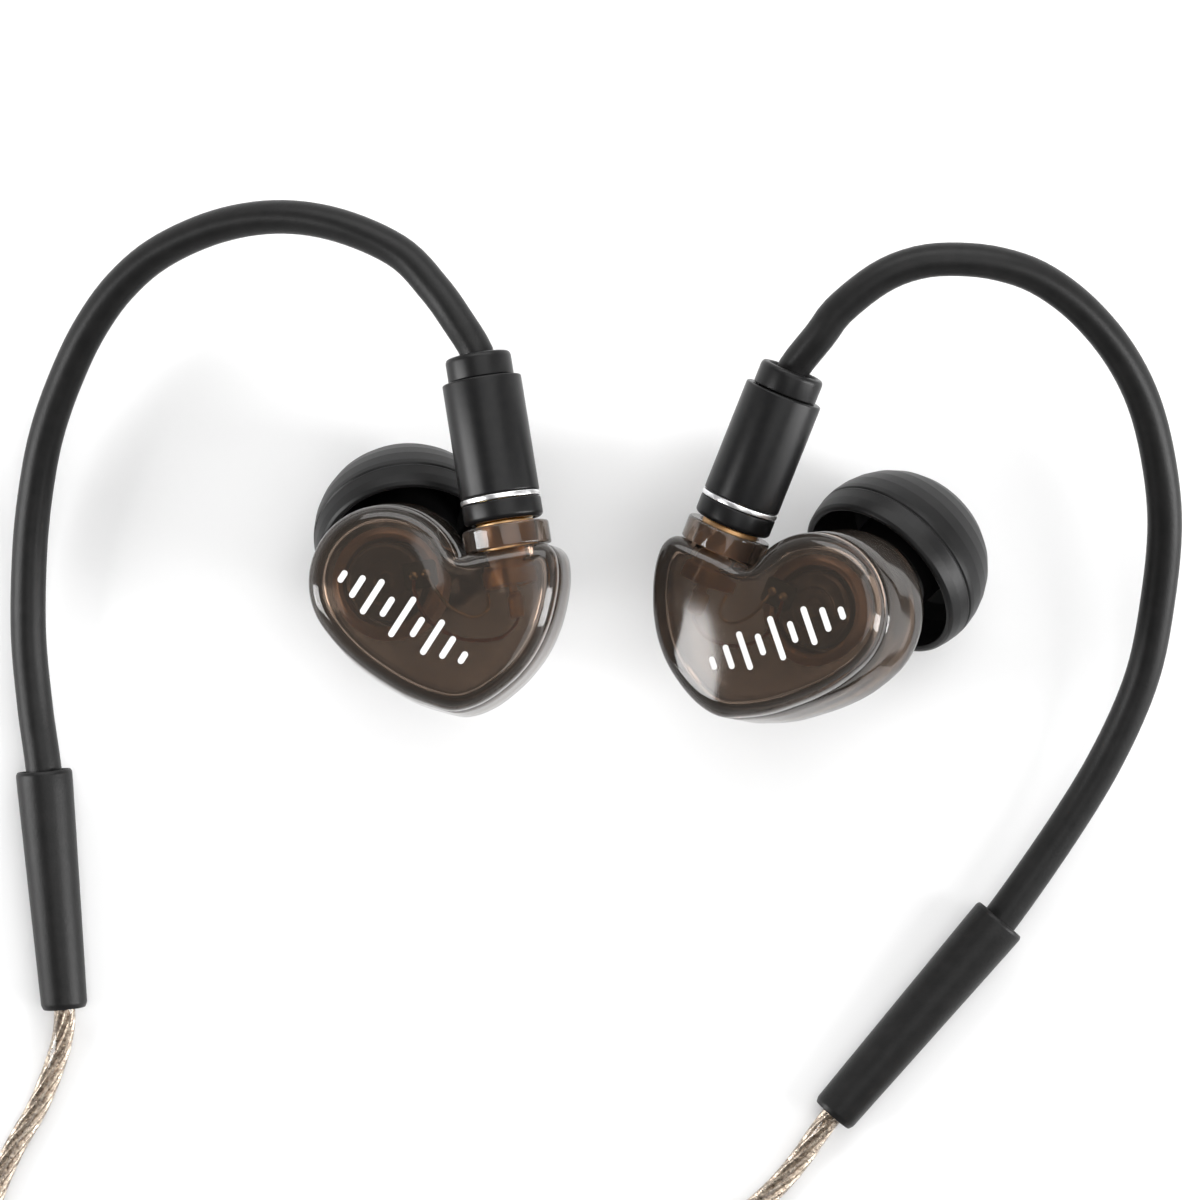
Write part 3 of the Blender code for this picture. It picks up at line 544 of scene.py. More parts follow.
def shell_ring(z, inset=0.0, scale=1.0):
    """The outline at one height: flared towards the back, inset, or shrunk towards its heart."""
    share = max(0.0, (SIDE_TOP_Z - z) / (SIDE_TOP_Z - SIDE_END_Z))
    flared = []
    for i, (point, weight) in enumerate(zip(OUTLINE, WEIGHTS)):
        flared.append(point + outward(OUTLINE, i) * FLARE * share * weight)
    ring = inset_ring(flared, inset) if inset else flared
    ring = [SHELL_HEART + (point - SHELL_HEART) * scale for point in ring]
    return [Vector((point.x, point.y, z)) for point in ring]


def nozzle_frame():
    return frame_along(TIP_CENTRE, NOZZLE_AXIS)


def nozzle_ring(radius, height, like):
    """A circle round the nozzle whose points face the same way as an outline's points."""
    axis = nozzle_frame()
    back = axis.inverted()
    heart = Vector((SHELL_HEART.x, SHELL_HEART.y, like[0].z))
    ring = []
    for point in like:
        across = back.to_3x3() @ (point - heart)
        angle = math.atan2(across.y, across.x)
        ring.append(axis @ Vector((radius * math.cos(angle), radius * math.sin(angle), height)))
    return ring


def blend_rings(start, end, pull_start, pull_end, steps):
    """Rings on curves that leave the first ring straight back and meet the last along the nozzle."""
    leave = Vector((0.0, 0.0, -pull_start))
    arrive = NOZZLE_AXIS * pull_end
    rings = []
    for k in range(1, steps):
        t = k / steps
        h0 = 2 * t ** 3 - 3 * t ** 2 + 1
        h1 = t ** 3 - 2 * t ** 2 + t
        h2 = 3 * t ** 2 - 2 * t ** 3
        h3 = t ** 3 - t ** 2
        rings.append([a * h0 + leave * h1 + b * h2 + arrive * h3 for a, b in zip(start, end)])
    return rings


def rim_rings(z, depth, inset, steps=8):
    """Rings round a quarter turn from a flat face, at z, to an upright side, depth below it."""
    rings = []
    for k in range(steps + 1):
        angle = math.pi / 2 * k / steps
        rings.append(shell_ring(z - depth * (1 - math.cos(angle)), inset + depth * (1 - math.sin(angle))))
    return rings


def dome_rings(z, inset):
    """Rings of the slightly domed face, from its middle outwards."""
    rings = [[Vector((SHELL_HEART.x, SHELL_HEART.y, z + FACE_DOME))]]
    for scale in (0.2, 0.4, 0.6, 0.75, 0.88, 0.96):
        rings.append(shell_ring(z + FACE_DOME * (1 - scale ** 2), inset=inset, scale=scale))
    return rings


def cut_socket_hole(piece, place):
    """Cuts the hole for the socket through a shell, and applies the cut."""
    points, faces = turned(disc(SOCKET_HOLE_RADIUS, -SOCKET_LENGTH - 0.6, 1.0), ALONG_PLUG, 48)
    cutter = add_object("socket_cutter", mesh_from("socket_cutter", points, faces, place, SHARP_ANGLE))
    boolean = piece.modifiers.new("socket_hole", "BOOLEAN")
    boolean.operation = "DIFFERENCE"
    boolean.solver = "EXACT"
    boolean.object = cutter
    evaluated = piece.evaluated_get(bpy.context.evaluated_depsgraph_get())
    mesh = bpy.data.meshes.new_from_object(evaluated)
    piece.modifiers.remove(boolean)
    piece.data = mesh
    mesh.set_sharp_from_angle(angle=math.radians(SHARP_ANGLE))
    bpy.data.objects.remove(cutter)


def add_faceplate_shell(ear, place):
    seam, chamfer, rim = SEAM_Z + 0.04, 0.12, FACE_Z - SIDE_TOP_Z
    outer = dome_rings(FACE_Z, rim) + rim_rings(FACE_Z, rim, 0.0)
    outer += [shell_ring(seam + chamfer), shell_ring(seam, inset=chamfer / 2)]
    ceiling = FACE_Z - WALL
    inner = dome_rings(ceiling, WALL)[:-1]
    for drop, scale in ((0.0, 0.9), (0.08, 0.95), (0.25, 0.985), (0.5, 1.0)):
        inner.append(shell_ring(ceiling - drop, inset=WALL, scale=scale))
    inner.append(shell_ring(seam, inset=WALL))
    points, faces = stack(outer + inner[::-1])
    piece = add_piece(ear + "_faceplate_shell", points, faces, "smoked_shell", ear + "_monitor", place)
    cut_socket_hole(piece, place)
    return piece


def add_rear_shell(ear, place):
    seam, chamfer = SEAM_Z - 0.04, 0.12
    side = [shell_ring(seam, inset=chamfer / 2)]
    side += [shell_ring(z) for z in (seam - chamfer, -0.5, -1.9, SIDE_END_Z)]
    root = nozzle_ring(NOZZLE_RADIUS + 0.3, NOZZLE_ROOT, side[-1])
    outer = side + blend_rings(side[-1], root, 8.5, 5.5, 16) + [root]
    lip = [
        (2.42, -2.2), (2.32, -1.6), (2.3, 0.3), (2.3, 2.15), (2.36, 2.35), (2.5, 2.6), (2.52, 2.9),
        (2.5, 3.2), (2.42, 3.5), (2.3, 3.7), (2.2, NOZZLE_END),
    ]
    outer += [nozzle_ring(radius, height, side[-1]) for radius, height in lip]
    seat = 1.85
    bore = [(seat, NOZZLE_END), (seat, 3.1)] + [(NOZZLE_BORE, height) for height in (3.1, 0.0, NOZZLE_ROOT)]
    bore = [nozzle_ring(radius, height, side[-1]) for radius, height in bore]
    inner_side = [shell_ring(z, inset=WALL) for z in (-2.9, -1.0, seam)]
    hollow = blend_rings(inner_side[0], bore[-1], 7.0, 5.0, 14)
    points, faces = stack(outer + bore + hollow[::-1] + inner_side, loop=True)
    piece = add_piece(ear + "_rear_shell", points, faces, "smoked_shell", ear + "_monitor", place)
    cut_socket_hole(piece, place)


def add_level_bars(ear, place, faceplate):
    """A plain row of printed bars, like a level meter, across the faceplate."""
    middle, run = Vector((-7.2, -5.0, 0.0)), Vector((0.73, -0.68, 0.0)).normalized()
    up = Vector((-run.y, run.x, 0.0))
    spacing, width, print_height = 1.22, 0.42, 0.03
    lengths = (0.9, 1.7, 2.7, 1.5, 3.1, 1.5, 2.7, 1.7, 0.9)
    tree = BVHTree.FromPolygons([v.co.copy() for v in faceplate.data.vertices],
                                [tuple(p.vertices) for p in faceplate.data.polygons])
    look = (place.to_3x3() @ Vector((0.0, 0.0, -1.0))).normalized()
    back = place.inverted()

    def on_face(point):
        start = MM * (place @ (point + Vector((0.0, 0.0, 9.0))))
        return (back @ (tree.ray_cast(start, look)[0] / MM)).z

    bars = []
    for k, length in enumerate(lengths):
        centre = middle + run * spacing * (k - (len(lengths) - 1) / 2)
        outline = []
        for end in (1, -1):
            for step in range(9):
                angle = math.pi * step / 8
                side = run * math.cos(angle) * end + up * math.sin(angle) * end
                outline.append(centre + up * end * (length - width) / 2 + side * width / 2)
        heights = [on_face(p) for p in outline]
        rings = []
        for lift in (-print_height, print_height):
            rings.append([Vector((p.x, p.y, z + lift)) for p, z in zip(outline, heights)])
        bars.append(stack(rings))
    add_piece(ear + "_level_bars", *joined(bars), "insulator", ear + "_monitor", place, nodes=(),
              finish="print")


# ---------------------------------------------------------------- inside the shell

def add_driver(ear, place):
    body = ear + "_monitor"
    axis = Matrix.Translation(LOBE_CENTRE)
    rim = DRIVER_RADIUS
    basket = [
        (rim, -2.4), (rim, 0.35), (rim + 0.12, 0.4), (rim + 0.12, 0.6), (rim - 0.45, 0.9), (rim - 0.8, 0.9),
        (rim - 0.8, 0.2), (rim - 0.45, 0.0), (rim - 0.45, -1.5), (rim - 0.9, -1.5), (rim - 0.9, -2.4),
    ]
    magnet = [
        (0, -0.9), (2.6, -0.9), (2.6, 1.15), (2.35, 1.4), (1.5, 1.4), (1.4, 1.3), (0.7, 1.3), (0.6, 1.4),
        (0, 1.4),
    ]
    film = [
        (0, -2.35), (1.4, -2.0), (1.9, -1.75), (2.75, -2.05), (2.75, -1.9), (1.9, -1.6), (1.4, -1.85),
        (0, -2.2),
    ]
    add_turned(ear + "_driver_basket", basket, "driver_can", body, axis, 72, place=place)
    add_turned(ear + "_driver_magnet", magnet, "driver_magnet", body, axis, place=place)
    add_turned(ear + "_driver_diaphragm", film, "driver_film", body, axis, fillet=0.25, place=place)


def add_terminals(ear, place):
    """The terminal board with its two solder beads, and the leads that run from it to the socket."""
    body = ear + "_monitor"
    low, high, corner = (-6.6, -3.0), (-5.0, -1.8), 0.3
    bottom, top = 1.45, 1.75
    rim = []
    for turn, (x, y) in enumerate((high, (low[0], high[1]), low, (high[0], low[1]))):
        for step in range(5):
            angle = math.radians(90.0 * turn + 22.5 * step)
            rim.append((x + corner * math.cos(angle), y + corner * math.sin(angle)))
    board = stack([[Vector((x, y, z)) for x, y in rim] for z in (bottom, top)])
    add_piece(ear + "_terminal_board", *board, "circuit_board", body, place)
    drop = [(0, -0.05), (0.36, -0.02), (0.3, 0.2), (0.12, 0.3), (0, 0.3)]
    beads = [turned(drop, Matrix.Translation((x, -2.4, top)), 24, fillet=0.12) for x in (-6.2, -5.35)]
    add_piece(ear + "_solder_beads", *joined(beads), "gold_contact", body, place, nodes=(), finish="solder")
    leads = {
        "red_lead": ("enamel", [
            (-6.2, -2.4, 1.85), (-6.3, -3.6, 1.75), (-5.8, -5.4, 1.3), (-4.0, -6.9, 0.6), (-1.6, -7.3, 0.1),
            (-0.2, -6.6, 0.0), (0.0, -6.1, 0.0),
        ]),
        "gold_lead": ("solder", [
            (-5.35, -2.4, 1.85), (-5.0, -3.4, 1.7), (-4.2, -4.8, 1.2), (-2.9, -5.7, 0.8), (-1.9, -5.3, 0.6),
            (-1.75, -4.2, 0.3),
        ]),
    }
    for name, (finish, route) in leads.items():
        lead = swept(smooth_curve(route, spacing=0.2), round_section(lambda i: LEAD_RADIUS, 10))
        add_piece(ear + "_" + name, *lead, "gold_contact", body, place, nodes=(), finish=finish)


def add_socket(ear, place):
    body = ear + "_monitor"
    collar = [(2.1, -1.53), (2.9, -1.53), (2.9, -0.12), (2.8, 0.0), (2.1, 0.0)]
    add_turned(ear + "_socket_collar", collar, "smoked_shell", body, ALONG_PLUG, 72, 0.12, place=place)
    barrel = [
        (1.95, -SOCKET_LENGTH), (1.95, -3.0), (1.8, -2.9), (1.8, -2.5), (1.95, -2.4), (1.95, 0.2), (1.7, 0.2),
        (1.55, 0.05), (1.55, -SOCKET_LENGTH),
    ]
    add_turned(ear + "_socket_barrel", barrel, "gold_contact", body, ALONG_PLUG, fillet=0.05, place=place,
               finish="inner_gold")
    insulator = pipe(0.5, 1.4, -SOCKET_LENGTH + 0.1, -2.9)
    add_turned(ear + "_socket_insulator", insulator, "insulator", body, ALONG_PLUG, 40, place=place)
    contact = [(0, -6.2), (0.45, -6.2), (0.55, -6.0), (0.55, -4.8), (0.38, -4.6), (0.38, -2.4), (0, -2.4)]
    add_turned(ear + "_socket_contact", contact, "gold_contact", body, ALONG_PLUG, 32, 0.06, place=place,
               finish="inner_gold")


def add_nozzle_mesh(ear, place):
    """Woven wires across the mouth of the nozzle, inside a thin ring."""
    axis, radius, wire, count = nozzle_frame(), 1.66, 0.055, 9
    height = NOZZLE_END - 0.35
    shapes = [turned(pipe(radius - 0.02, 1.78, height - 0.12, height + 0.12), axis, 48, fillet=0.03)]
    for crosswise in (False, True):
        for k in range(count):
            offset = radius * 2 * ((k + 0.5) / count - 0.5)
            half = math.sqrt(radius ** 2 - offset ** 2)
            route = []
            for step in range(WIRE_STEPS + 1):
                along = half * (2 * step / WIRE_STEPS - 1)
                weave = wire * math.cos(math.pi * count * along / (2 * radius) + math.pi * k)
                weave = -weave if crosswise else weave
                flat = (offset, along) if crosswise else (along, offset)
                route.append(axis @ Vector((*flat, height + weave)))
            shapes.append(swept(route, round_section(lambda i: wire, 8)))
    add_piece(ear + "_nozzle_mesh", *joined(shapes), "steel_mesh", ear + "_monitor", place)


def add_ear_tip(ear, place):
    """A silicone dome with a hollow skirt and a faint parting line round its widest circle."""
    outside = [
        (6.05, -1.75), (6.22, -1.55), (6.38, -0.9), (6.47, -0.25), (6.5, -0.12), (6.38, 0.0), (6.5, 0.12),
        (6.49, 0.5), (6.36, 1.4), (6.08, 2.3), (5.62, 3.25), (4.95, 4.15), (4.1, 4.92), (3.3, 5.35),
        (2.75, 5.52),
    ]
    mouth = [(2.35, 5.55), (2.05, 5.3), (2.0, 4.9), (2.0, 4.3), (2.75, 4.1)]
    stem = [(2.75, -0.95), (2.95, -1.0), (3.3, -0.95), (3.5, 3.25)]
    underside = [(3.8, 3.5), (4.4, 3.2), (5.1, 2.4), (5.6, 1.2), (5.78, 0.0), (5.7, -1.65), (5.85, -1.8)]
    add_turned(ear + "_ear_tip", outside + mouth + stem + underside, "silicone", ear + "_tip",
               nozzle_frame(), 96, 0.05, place=place, angle=60.0)


# ---------------------------------------------------------------- plug

def add_plug(ear):
    place = plug_frame(ear)
    pieces = {
        "plug_barrel": ("black_anodised", 0.14, [
            (2.65, 2.05), (2.65, 9.85), (1.8, 9.85), (1.8, 8.85), (2.15, 8.65), (2.15, 2.05),
        ]),
        "plug_collar": ("black_anodised", 0.1, [
            (2.2, 9.9), (2.2, 11.25), (2.12, 11.47), (1.9, 11.55), (1.72, 11.5), (1.6, 11.0), (1.25, 10.9),
            (1.25, 7.6), (1.7, 7.6), (1.7, 9.9),
        ]),
        "plug_trim_ring": ("silver_trim", 0.06, [(2.67, 1.67), (2.67, 2.0), (2.2, 2.0), (2.2, 1.67)]),
        "plug_base": ("black_anodised", 0.12, [
            (2.65, 0.5), (2.65, 1.62), (2.1, 1.62), (2.1, 0.3), (2.45, 0.3),
        ]),
        "plug_contact": ("gold_contact", 0.05, [
            (1.35, -2.3), (1.35, -1.8), (1.1, -1.8), (1.1, -1.3), (1.35, -1.3), (1.35, 0.3), (1.95, 0.3),
            (1.95, 1.9), (1.6, 1.9), (1.6, 5.0), (0.9, 5.0), (0.9, -2.3),
        ]),
        "plug_pin": ("insulator", 0.05, [
            (0, -2.2), (0.15, -2.2), (0.28, -2.0), (0.28, -0.4), (0.75, -0.4), (0.75, 3.0), (0, 3.0),
        ]),
    }
    for name, (slot, fillet, profile) in pieces.items():
        add_turned(ear + "_" + name, profile, slot, "cable_set", ALONG_PLUG, 80, fillet, place=place)


def add_lock_ring(ear, place):
    """The open spring ring that snaps into the plug's groove."""
    low, high, inside, outside = -1.75, -1.35, 1.15, 1.47
    rings = []
    for degrees in range(25, 336, 10):
        angle = math.radians(degrees)
        corners = softened([(inside, low), (outside, low), (outside, high), (inside, high)], 0.06, 2)
        rings.append([Vector((r * math.cos(angle), y, r * math.sin(angle))) for r, y in corners])
    add_piece(ear + "_lock_ring", *stack(rings), "silver_trim", ear + "_lock_ring", place)


# ---------------------------------------------------------------- hooks

def add_hook(ear):
    """The stiff tube over the ear, which thickens a little towards its sleeve, and the sleeve."""
    axis = plug_frame(ear)
    sleeve_top, sleeve_end = SLEEVES[ear]
    along = (sleeve_end - sleeve_top).normalized()
    inside_plug = [axis @ Vector((0.0, y, 0.0)) for y in (8.2, 10.0, 11.7)]
    inside_sleeve = [sleeve_top + along * d for d in (0.0, 5.0)]
    route = inside_plug + [Vector(p) for p in HOOK_ROUTES[ear]] + inside_sleeve
    path = smooth_curve(route, spacing=0.7)
    last = len(path) - 1

    def radius(i):
        return HOOK_RADIUS + (HOOK_END_RADIUS - HOOK_RADIUS) * i / last

    add_piece(ear + "_hook", *swept(path, round_section(radius, 32)), "black_tube", "cable_set")
    length = (sleeve_end - sleeve_top).length
    profile = [
        (1.4, 1.2), (1.6, 1.1), (1.68, 0.1), (1.74, 0.0), (1.84, 0.0), (1.95, 0.2), (1.94, 1.2),
        (1.6, length - 0.35), (1.45, length), (1.1, length), (0.95, length - 0.15), (0.95, 8.0), (1.4, 6.5),
    ]
    axis = frame_along(sleeve_top, along)
    add_turned(ear + "_hook_sleeve", profile, "black_tube", "cable_set", axis, 72, 0.1)


# ---------------------------------------------------------------- cable

def coil_point(centre, radius, degrees, z):
    angle = math.radians(degrees)
    return centre + Vector((radius * math.cos(angle), radius * math.sin(angle), z))


def eased(t):
    """0 before 0, 1 after 1, and a smooth step between them."""
    t = min(1.0, max(0.0, t))
    return t * t * (3 - 2 * t)


def branch_coil_points(ear):
    """Two turns spiralling in on the lower layer, then out again on the upper one, side by side with
    the other branch."""
    side = BRANCH_RADIUS if ear == "right_ear" else -BRANCH_RADIUS
    all_turns = 3.0 + (270.0 - BRANCH_COIL_JOIN) / 360.0
    inmost = RIBBON_OUTER - RIBBON_PITCH * BRANCH_COIL_TURN_IN
    out_pitch = (RIBBON_EXIT - inmost) / (all_turns - BRANCH_COIL_TURN_IN)
    points = []
    if ear == "left_ear":
        for degrees in range(LEFT_APPROACH_START, int(BRANCH_COIL_JOIN), 15):
            t = (degrees - LEFT_APPROACH_START) / (BRANCH_COIL_JOIN - LEFT_APPROACH_START)
            radius = LEFT_APPROACH_RADIUS + (RIBBON_OUTER + side - LEFT_APPROACH_RADIUS) * eased(t)
            points.append(coil_point(BRANCH_COIL_CENTRE, radius, degrees, 0.95 + 0.3 * t))
    steps = round(all_turns * 24)
    for k in range(steps + 1):
        turns = all_turns * k / steps
        past = turns - BRANCH_COIL_TURN_IN
        ribbon = RIBBON_OUTER - RIBBON_PITCH * turns if past < 0 else inmost + out_pitch * past
        low, high = BRANCH_LAYER_Z
        z = low + (high - low) * eased(past / BRANCH_CLIMB + 0.5)
        z -= 0.25 * (1 - eased(turns / 0.1))
        points.append(coil_point(BRANCH_COIL_CENTRE, ribbon + side, BRANCH_COIL_JOIN + 360 * turns, z))
    return points


def branch_path(ear):
    """From inside the hook sleeve, through the coil, to inside the splitter."""
    sleeve_top, sleeve_end = SLEEVES[ear]
    start = sleeve_end + (sleeve_top - sleeve_end).normalized() * CORD_DEPTH
    tail = [Vector((x, TAIL_Y[ear], z)) for x, z in TAIL_X_Z]
    route = [start] + [Vector(p) for p in BRANCH_ROUTES[ear]] + branch_coil_points(ear) + tail
    return smooth_curve(route, spacing=BRANCH_SPACING)


def main_coil_points():
    """Twelve turns in four layers that spiral in and out by turns."""
    top_layer, all_turns = MAIN_COIL_LAYERS - 1, MAIN_LAYER_TURNS * MAIN_COIL_LAYERS
    steps = all_turns * 20
    points = []
    for k in range(steps + 1):
        turns = all_turns * k / steps
        layer = min(top_layer, int(turns // MAIN_LAYER_TURNS))
        travelled = turns - layer * MAIN_LAYER_TURNS
        inwards = travelled if layer % 2 == 0 else MAIN_LAYER_TURNS - travelled
        radius = MAIN_COIL_OUTER - MAIN_COIL_PITCH * inwards
        climb = eased((travelled - MAIN_LAYER_TURNS) / MAIN_CLIMB + 0.5)
        if layer > 0:
            climb = (climb + eased(travelled / MAIN_CLIMB + 0.5) - 1.0) / 2
        z = MAIN_COIL_BASE + 2 * MAIN_RADIUS * (layer + (max(0.0, climb) if layer < top_layer else 0.0))
        points.append(coil_point(MAIN_COIL_CENTRE, radius, 270 + 360 * turns, z))
    return points


def main_path():
    route = [Vector(p) for p in MAIN_LEAD_ROUTE] + main_coil_points() + [Vector(p) for p in PLUG_LEAD_ROUTE]
    return smooth_curve(route, spacing=MAIN_SPACING)


def strand_section(radius, spacing):
    """The outline of a bundle of twisted strands, which turns once in each pitch."""
    sides = STRAND_COUNT * 4

    def section(i):
        twist = 2 * math.pi * i * spacing / STRAND_PITCH
        ring = []
        for k in range(sides):
            angle = 2 * math.pi * k / sides
            swell = abs(math.cos(STRAND_COUNT * angle / 2))
            ring.append((angle + twist, radius * (1 - STRAND_DIP + STRAND_DIP * swell)))
        return ring

    return section


def add_cord(name, path, radius, spacing, nodes):
    """One cable: a bundle of twisted strands in a clear round jacket."""
    bundle = swept(path, strand_section(radius * BUNDLE_SHARE, spacing))
    strands = add_piece(name + "_strands", *bundle, "clear_cable", "cable_set", nodes=(), finish="strands",
                        angle=80.0)
    tube = swept(path[::2] + path[-1:], round_section(lambda i: radius, 20))
    jacket = add_piece(name + "_jacket", *tube, "clear_cable", "cable_set", nodes=nodes)


def flat_loft(stations, segments=48):
    """A rounded body along X: each station gives X, the half width along Y and the half height."""
    centre_y, centre_z = RIBBON_CENTRE
    rings = []
    for x, half_width, half_height in stations:
        ring = []
        for i in range(segments):
            angle = 2 * math.pi * (i + 0.5) / segments
            straight = max(0.0, half_width - half_height)
            y = math.copysign(straight, math.cos(angle)) + half_height * math.cos(angle)
            ring.append(Vector((x, centre_y + y, centre_z + half_height * math.sin(angle))))
        rings.append(ring)
    return rings


def add_splitter():
    start, end = SPLITTER_START, SPLITTER_END
    outer = [
        (start, 2.3, 1.2), (start + 0.08, 2.55, 1.42), (start + 0.3, 2.74, 1.55), (start + 0.7, 2.8, 1.58),
        (start + 5.6, 2.8, 1.58), (start + 6.6, 2.68, 1.58), (start + 7.6, 2.3, 1.57),
        (start + 8.4, 2.0, 1.56),
    ]
    for k in range(4):
        rib = start + 8.7 + 0.8 * k
        outer += [(rib, 1.72, 1.5), (rib + 0.08, 1.5, 1.32), (rib + 0.3, 1.5, 1.32)]
        outer.append((rib + 0.38, 1.68, 1.48))
    outer += [(end - 0.1, 1.45, 1.42), (end, 1.3, 1.28)]
    inner = [(end, 1.08, 1.08), (end - 3.6, 1.05, 1.05), (start + 4.0, *RIBBON_BORE), (start, *RIBBON_BORE)]
    body = stack(flat_loft(outer) + flat_loft(inner), loop=True)
    return add_piece("cable_splitter", *body, "black_tube", "cable_set", angle=30.0)


def add_slider():
    start, end = SLIDER_START, SLIDER_START + SLIDER_LENGTH
    outer = [
        (start, 2.15, 1.2), (start + 0.1, 2.4, 1.42), (start + 0.35, 2.56, 1.55), (start + 0.8, 2.6, 1.58),
    ]
    for k in range(3):
        groove = start + 1.5 + 0.85 * k
        outer += [(groove, 2.6, 1.58), (groove + 0.06, 2.5, 1.48), (groove + 0.26, 2.5, 1.48)]
        outer.append((groove + 0.32, 2.6, 1.58))
    outer += [(end - 0.8, 2.6, 1.58), (end - 0.35, 2.56, 1.55), (end - 0.1, 2.4, 1.42), (end, 2.15, 1.2)]
    inner = [(end, *RIBBON_BORE), (start, *RIBBON_BORE)]
    body = stack(flat_loft(outer) + flat_loft(inner), loop=True)
    return add_piece("chin_slider", *body, "black_tube", "chin_slider", angle=30.0)


def add_tie(name, centre, inner, outer, top, degrees, shoulder, waist):
    """A woven strap closed round one side of a coil, with its free end lying on itself. Its outer side
    leans in from the waist up to the shoulder."""
    half, thickness, base, corner, edge = 2.0, 0.4, 0.4, 0.7, 0.12
    turn = Matrix.Translation(centre) @ Matrix.Rotation(math.radians(degrees), 4, "Z")
    inside = math.sqrt(inner ** 2 - half ** 2)
    lean = math.degrees(math.atan2(outer - shoulder, top - corner - waist))
    arcs = (
        (outer - corner, waist, 0.0, lean), (shoulder - corner, top - corner, lean, 90.0),
        (inside + corner, top - corner, 90.0, 180.0), (inside + corner, base + corner, 180.0, 270.0),
        (outer - corner, base + corner, 270.0, 360.0),
    )
    loop = []
    for x, z, start, end in arcs:
        for step in range(5):
            angle = math.radians(start + (end - start) * step / 4)
            loop.append((Vector((x, z)), Vector((math.cos(angle), math.sin(angle)))))
    section = [
        (0.0, half - edge), (edge, half), (thickness - edge, half), (thickness, half - edge),
        (thickness, edge - half), (thickness - edge, -half), (edge, -half), (0.0, edge - half),
    ]

    def row(grow, along, part):
        flat = [middle + out * (corner + grow) for middle, out in part]
        return [turn @ Vector((p.x, along, p.y)) for p in flat]

    strap = stack([row(grow, along, loop) for grow, along in section], loop=True)
    flap = [row(grow + thickness * 1.02, along * 0.96, loop[2:12]) for grow, along in section]
    free_end = stack([list(across) for across in zip(*flap)])
    return add_piece(name, *joined([strap, free_end]), "strap", "cable_set", angle=50.0)


# ---------------------------------------------------------------- jack plug

def add_jack():
    """The plug along -X. A profile's heights run from the barrel's shoulder towards the tip."""
    axis = frame_along((JACK_SHOULDER, JACK_Y, JACK_RADIUS), (-1.0, 0.0, 0.0))
    end = JACK_SHOULDER - JACK_BARREL_START
    relief_end = JACK_SHOULDER - JACK_RELIEF_START
    r = JACK_RADIUS
    barrel = [(r, 0.0), (r, -1.0), (r - 0.14, -1.06), (r - 0.14, -1.5), (r, -1.56), (r, end + 3.2)]
    for k in range(4):
        groove = end + 3.0 - 0.55 * k
        barrel += [(r, groove), (r - 0.12, groove - 0.06), (r - 0.12, groove - 0.2), (r, groove - 0.26)]
    barrel += [(r, end + 0.3), (r - 0.3, end), (2.2, end), (2.2, 0.0)]
    relief = [(1.15, relief_end), (1.6, relief_end)]
    for k in range(8):
        rib = relief_end + 0.5 + 1.05 * k
        swell = 1.7 + 0.07 * k
        relief += [(swell, rib), (swell, rib + 0.55), (swell - 0.28, rib + 0.62), (swell - 0.28, rib + 0.95)]
    relief += [(2.4, end - 0.4), (2.4, end - 0.1), (2.05, end - 0.1), (2.05, end + 4.0), (1.15, end + 4.0)]
    core = [
        (0, -6.0), (1.1, -6.0), (1.1, 6.2), (1.74, 6.2), (1.74, 6.9), (0.8, 6.9), (0.8, 8.8), (1.74, 8.8),
        (1.74, 9.5), (0.5, 9.5), (0.5, 12.0), (0, 12.0),
    ]
    sleeve = [(1.2, -5.0), (2.0, -5.0), (2.0, 0.25), (1.75, 0.35), (1.75, 6.15), (1.2, 6.15)]
    tip = [
        (0.6, 9.55), (1.75, 9.55), (1.75, 10.3), (1.35, 11.2), (1.45, 11.6), (1.75, 12.1), (1.3, 13.2),
        (0.5, 14.0), (0, 14.0), (0, 12.1), (0.6, 12.1),
    ]
    pieces = {
        "jack_barrel": (barrel, "black_anodised", 0.08),
        "jack_strain_relief": (relief, "black_tube", 0.1),
        "jack_insulator": (core, "black_insulator", 0.03),
        "jack_sleeve_contact": (sleeve, "gold_contact", 0.05),
        "jack_ring_contact": (pipe(0.9, 1.75, 6.95, 8.75), "gold_contact", 0.05),
        "jack_tip_contact": (tip, "gold_contact", 0.25),
    }
    return [
        add_turned(name, profile, slot, "cable_set", axis, 72, fillet)
        for name, (profile, slot, fillet) in pieces.items()
    ]


# ---------------------------------------------------------------- the whole set

def add_ear(ear):
    place = monitor_frame(ear)
    faceplate = add_faceplate_shell(ear, place)
    add_rear_shell(ear, place)
    add_level_bars(ear, place, faceplate)
    add_driver(ear, place)
    add_terminals(ear, place)
    add_socket(ear, place)
    add_nozzle_mesh(ear, place)
    add_ear_tip(ear, place)
    add_lock_ring(ear, place)
    add_plug(ear)
    add_hook(ear)


def add_cables():
    splitter = add_splitter()
    slider = add_slider()
    tie = add_tie("branch_coil_tie", BRANCH_COIL_CENTRE, inner=7.5, outer=13.8, top=3.62, degrees=20.0,
                  shoulder=11.35, waist=1.5)
    main_tie = add_tie("main_coil_tie", MAIN_COIL_CENTRE, inner=6.7, outer=13.4, top=8.6, degrees=40.0,
                       shoulder=12.9, waist=6.0)
    jack = add_jack()
    for ear in EARS:
        nodes = [ear + "_cable", ear + "_cable_tail"] + (["branch_coil"] if ear == "right_ear" else [])
        add_cord(ear + "_cable", branch_path(ear), BRANCH_RADIUS, BRANCH_SPACING,
                 nodes)
    add_cord("main_cable", main_path(), MAIN_RADIUS, MAIN_SPACING,
             ["main_cable_lead", "main_coil", "jack_cable"])


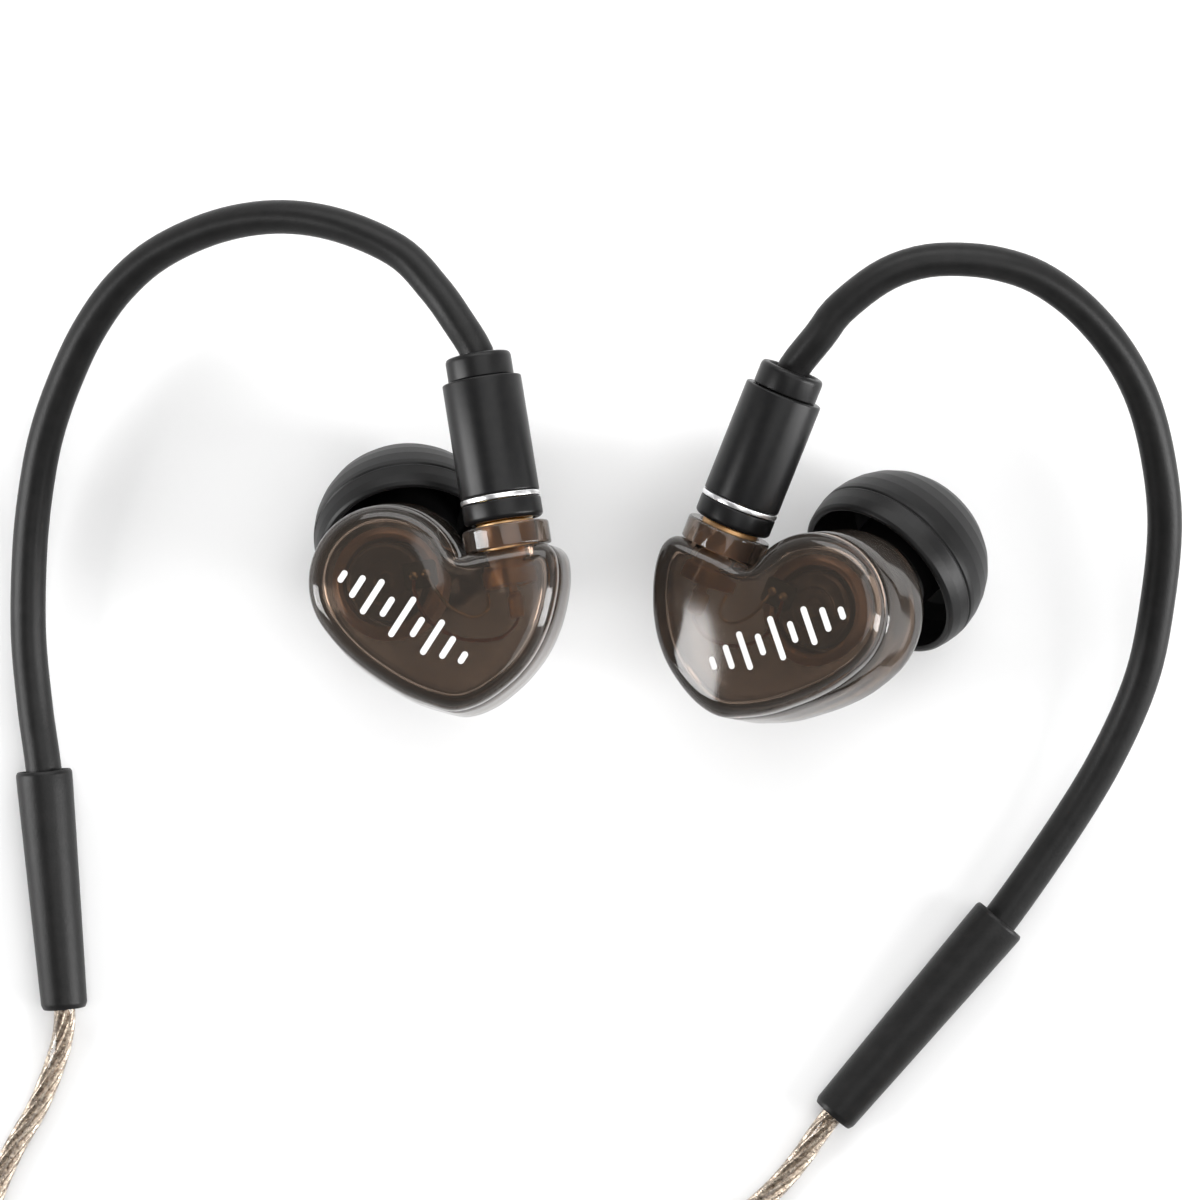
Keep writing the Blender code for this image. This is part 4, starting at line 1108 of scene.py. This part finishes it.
def add_softbox(name, location, size, power):
    data = bpy.data.lights.new(name, "AREA")
    data.shape = "RECTANGLE"
    data.size, data.size_y = size
    data.energy = power
    light = add_object(name, data)
    light.location = location
    light.rotation_euler = (Vector(SOFTBOX_TARGET) - Vector(location)).to_track_quat("-Z", "Y").to_euler()
    light.visible_camera = False


def add_studio():
    """Soft light that is darker overhead, softboxes, and a plain pale floor."""
    scene = bpy.context.scene
    world = bpy.data.worlds.new("studio")
    scene.world = world
    world.use_nodes = True
    nodes, links = world.node_tree.nodes, world.node_tree.links
    direction = nodes.new("ShaderNodeTexCoord")
    split = nodes.new("ShaderNodeSeparateXYZ")
    ramp = nodes.new("ShaderNodeValToRGB")
    glow = ramp.color_ramp
    glow.elements[0].position = 0.0
    glow.elements[0].color = (0.95, 0.95, 0.95, 1.0)
    glow.elements[1].position = 0.62
    glow.elements[1].color = (0.06, 0.06, 0.06, 1.0)
    glow.elements.new(0.3).color = (0.5, 0.5, 0.5, 1.0)
    links.new(direction.outputs["Generated"], split.inputs["Vector"])
    links.new(split.outputs["Z"], ramp.inputs["Fac"])
    links.new(ramp.outputs["Color"], nodes["Background"].inputs["Color"])
    for name, (location, size, power) in SOFTBOXES.items():
        add_softbox(name, location, size, power)
    points = [(FLOOR_HALF * x, FLOOR_HALF * y, 0.0) for x, y in ((-1, -1), (1, -1), (1, 1), (-1, 1))]
    mesh = bpy.data.meshes.new("floor")
    mesh.from_pydata([MM * Vector(p) for p in points], [], [(0, 1, 2, 3)])
    mesh.materials.append(FINISHES["floor"])
    add_object("floor", mesh)
    scene.view_settings.view_transform = "Standard"


def add_camera():
    data = bpy.data.cameras.new("camera")
    data.lens = LENS
    data.sensor_width = SENSOR_WIDTH
    data.clip_start = 0.01
    camera = add_object("camera", data)
    camera.location = (VIEW_CENTRE[0] * MM, VIEW_CENTRE[1] * MM, CAMERA_HEIGHT * MM)
    bpy.context.scene.camera = camera


FINISHES = make_finishes()
add_camera()
add_cables()
for ear_name in EARS:
    add_ear(ear_name)
add_studio()
bpy.context.view_layer.update()
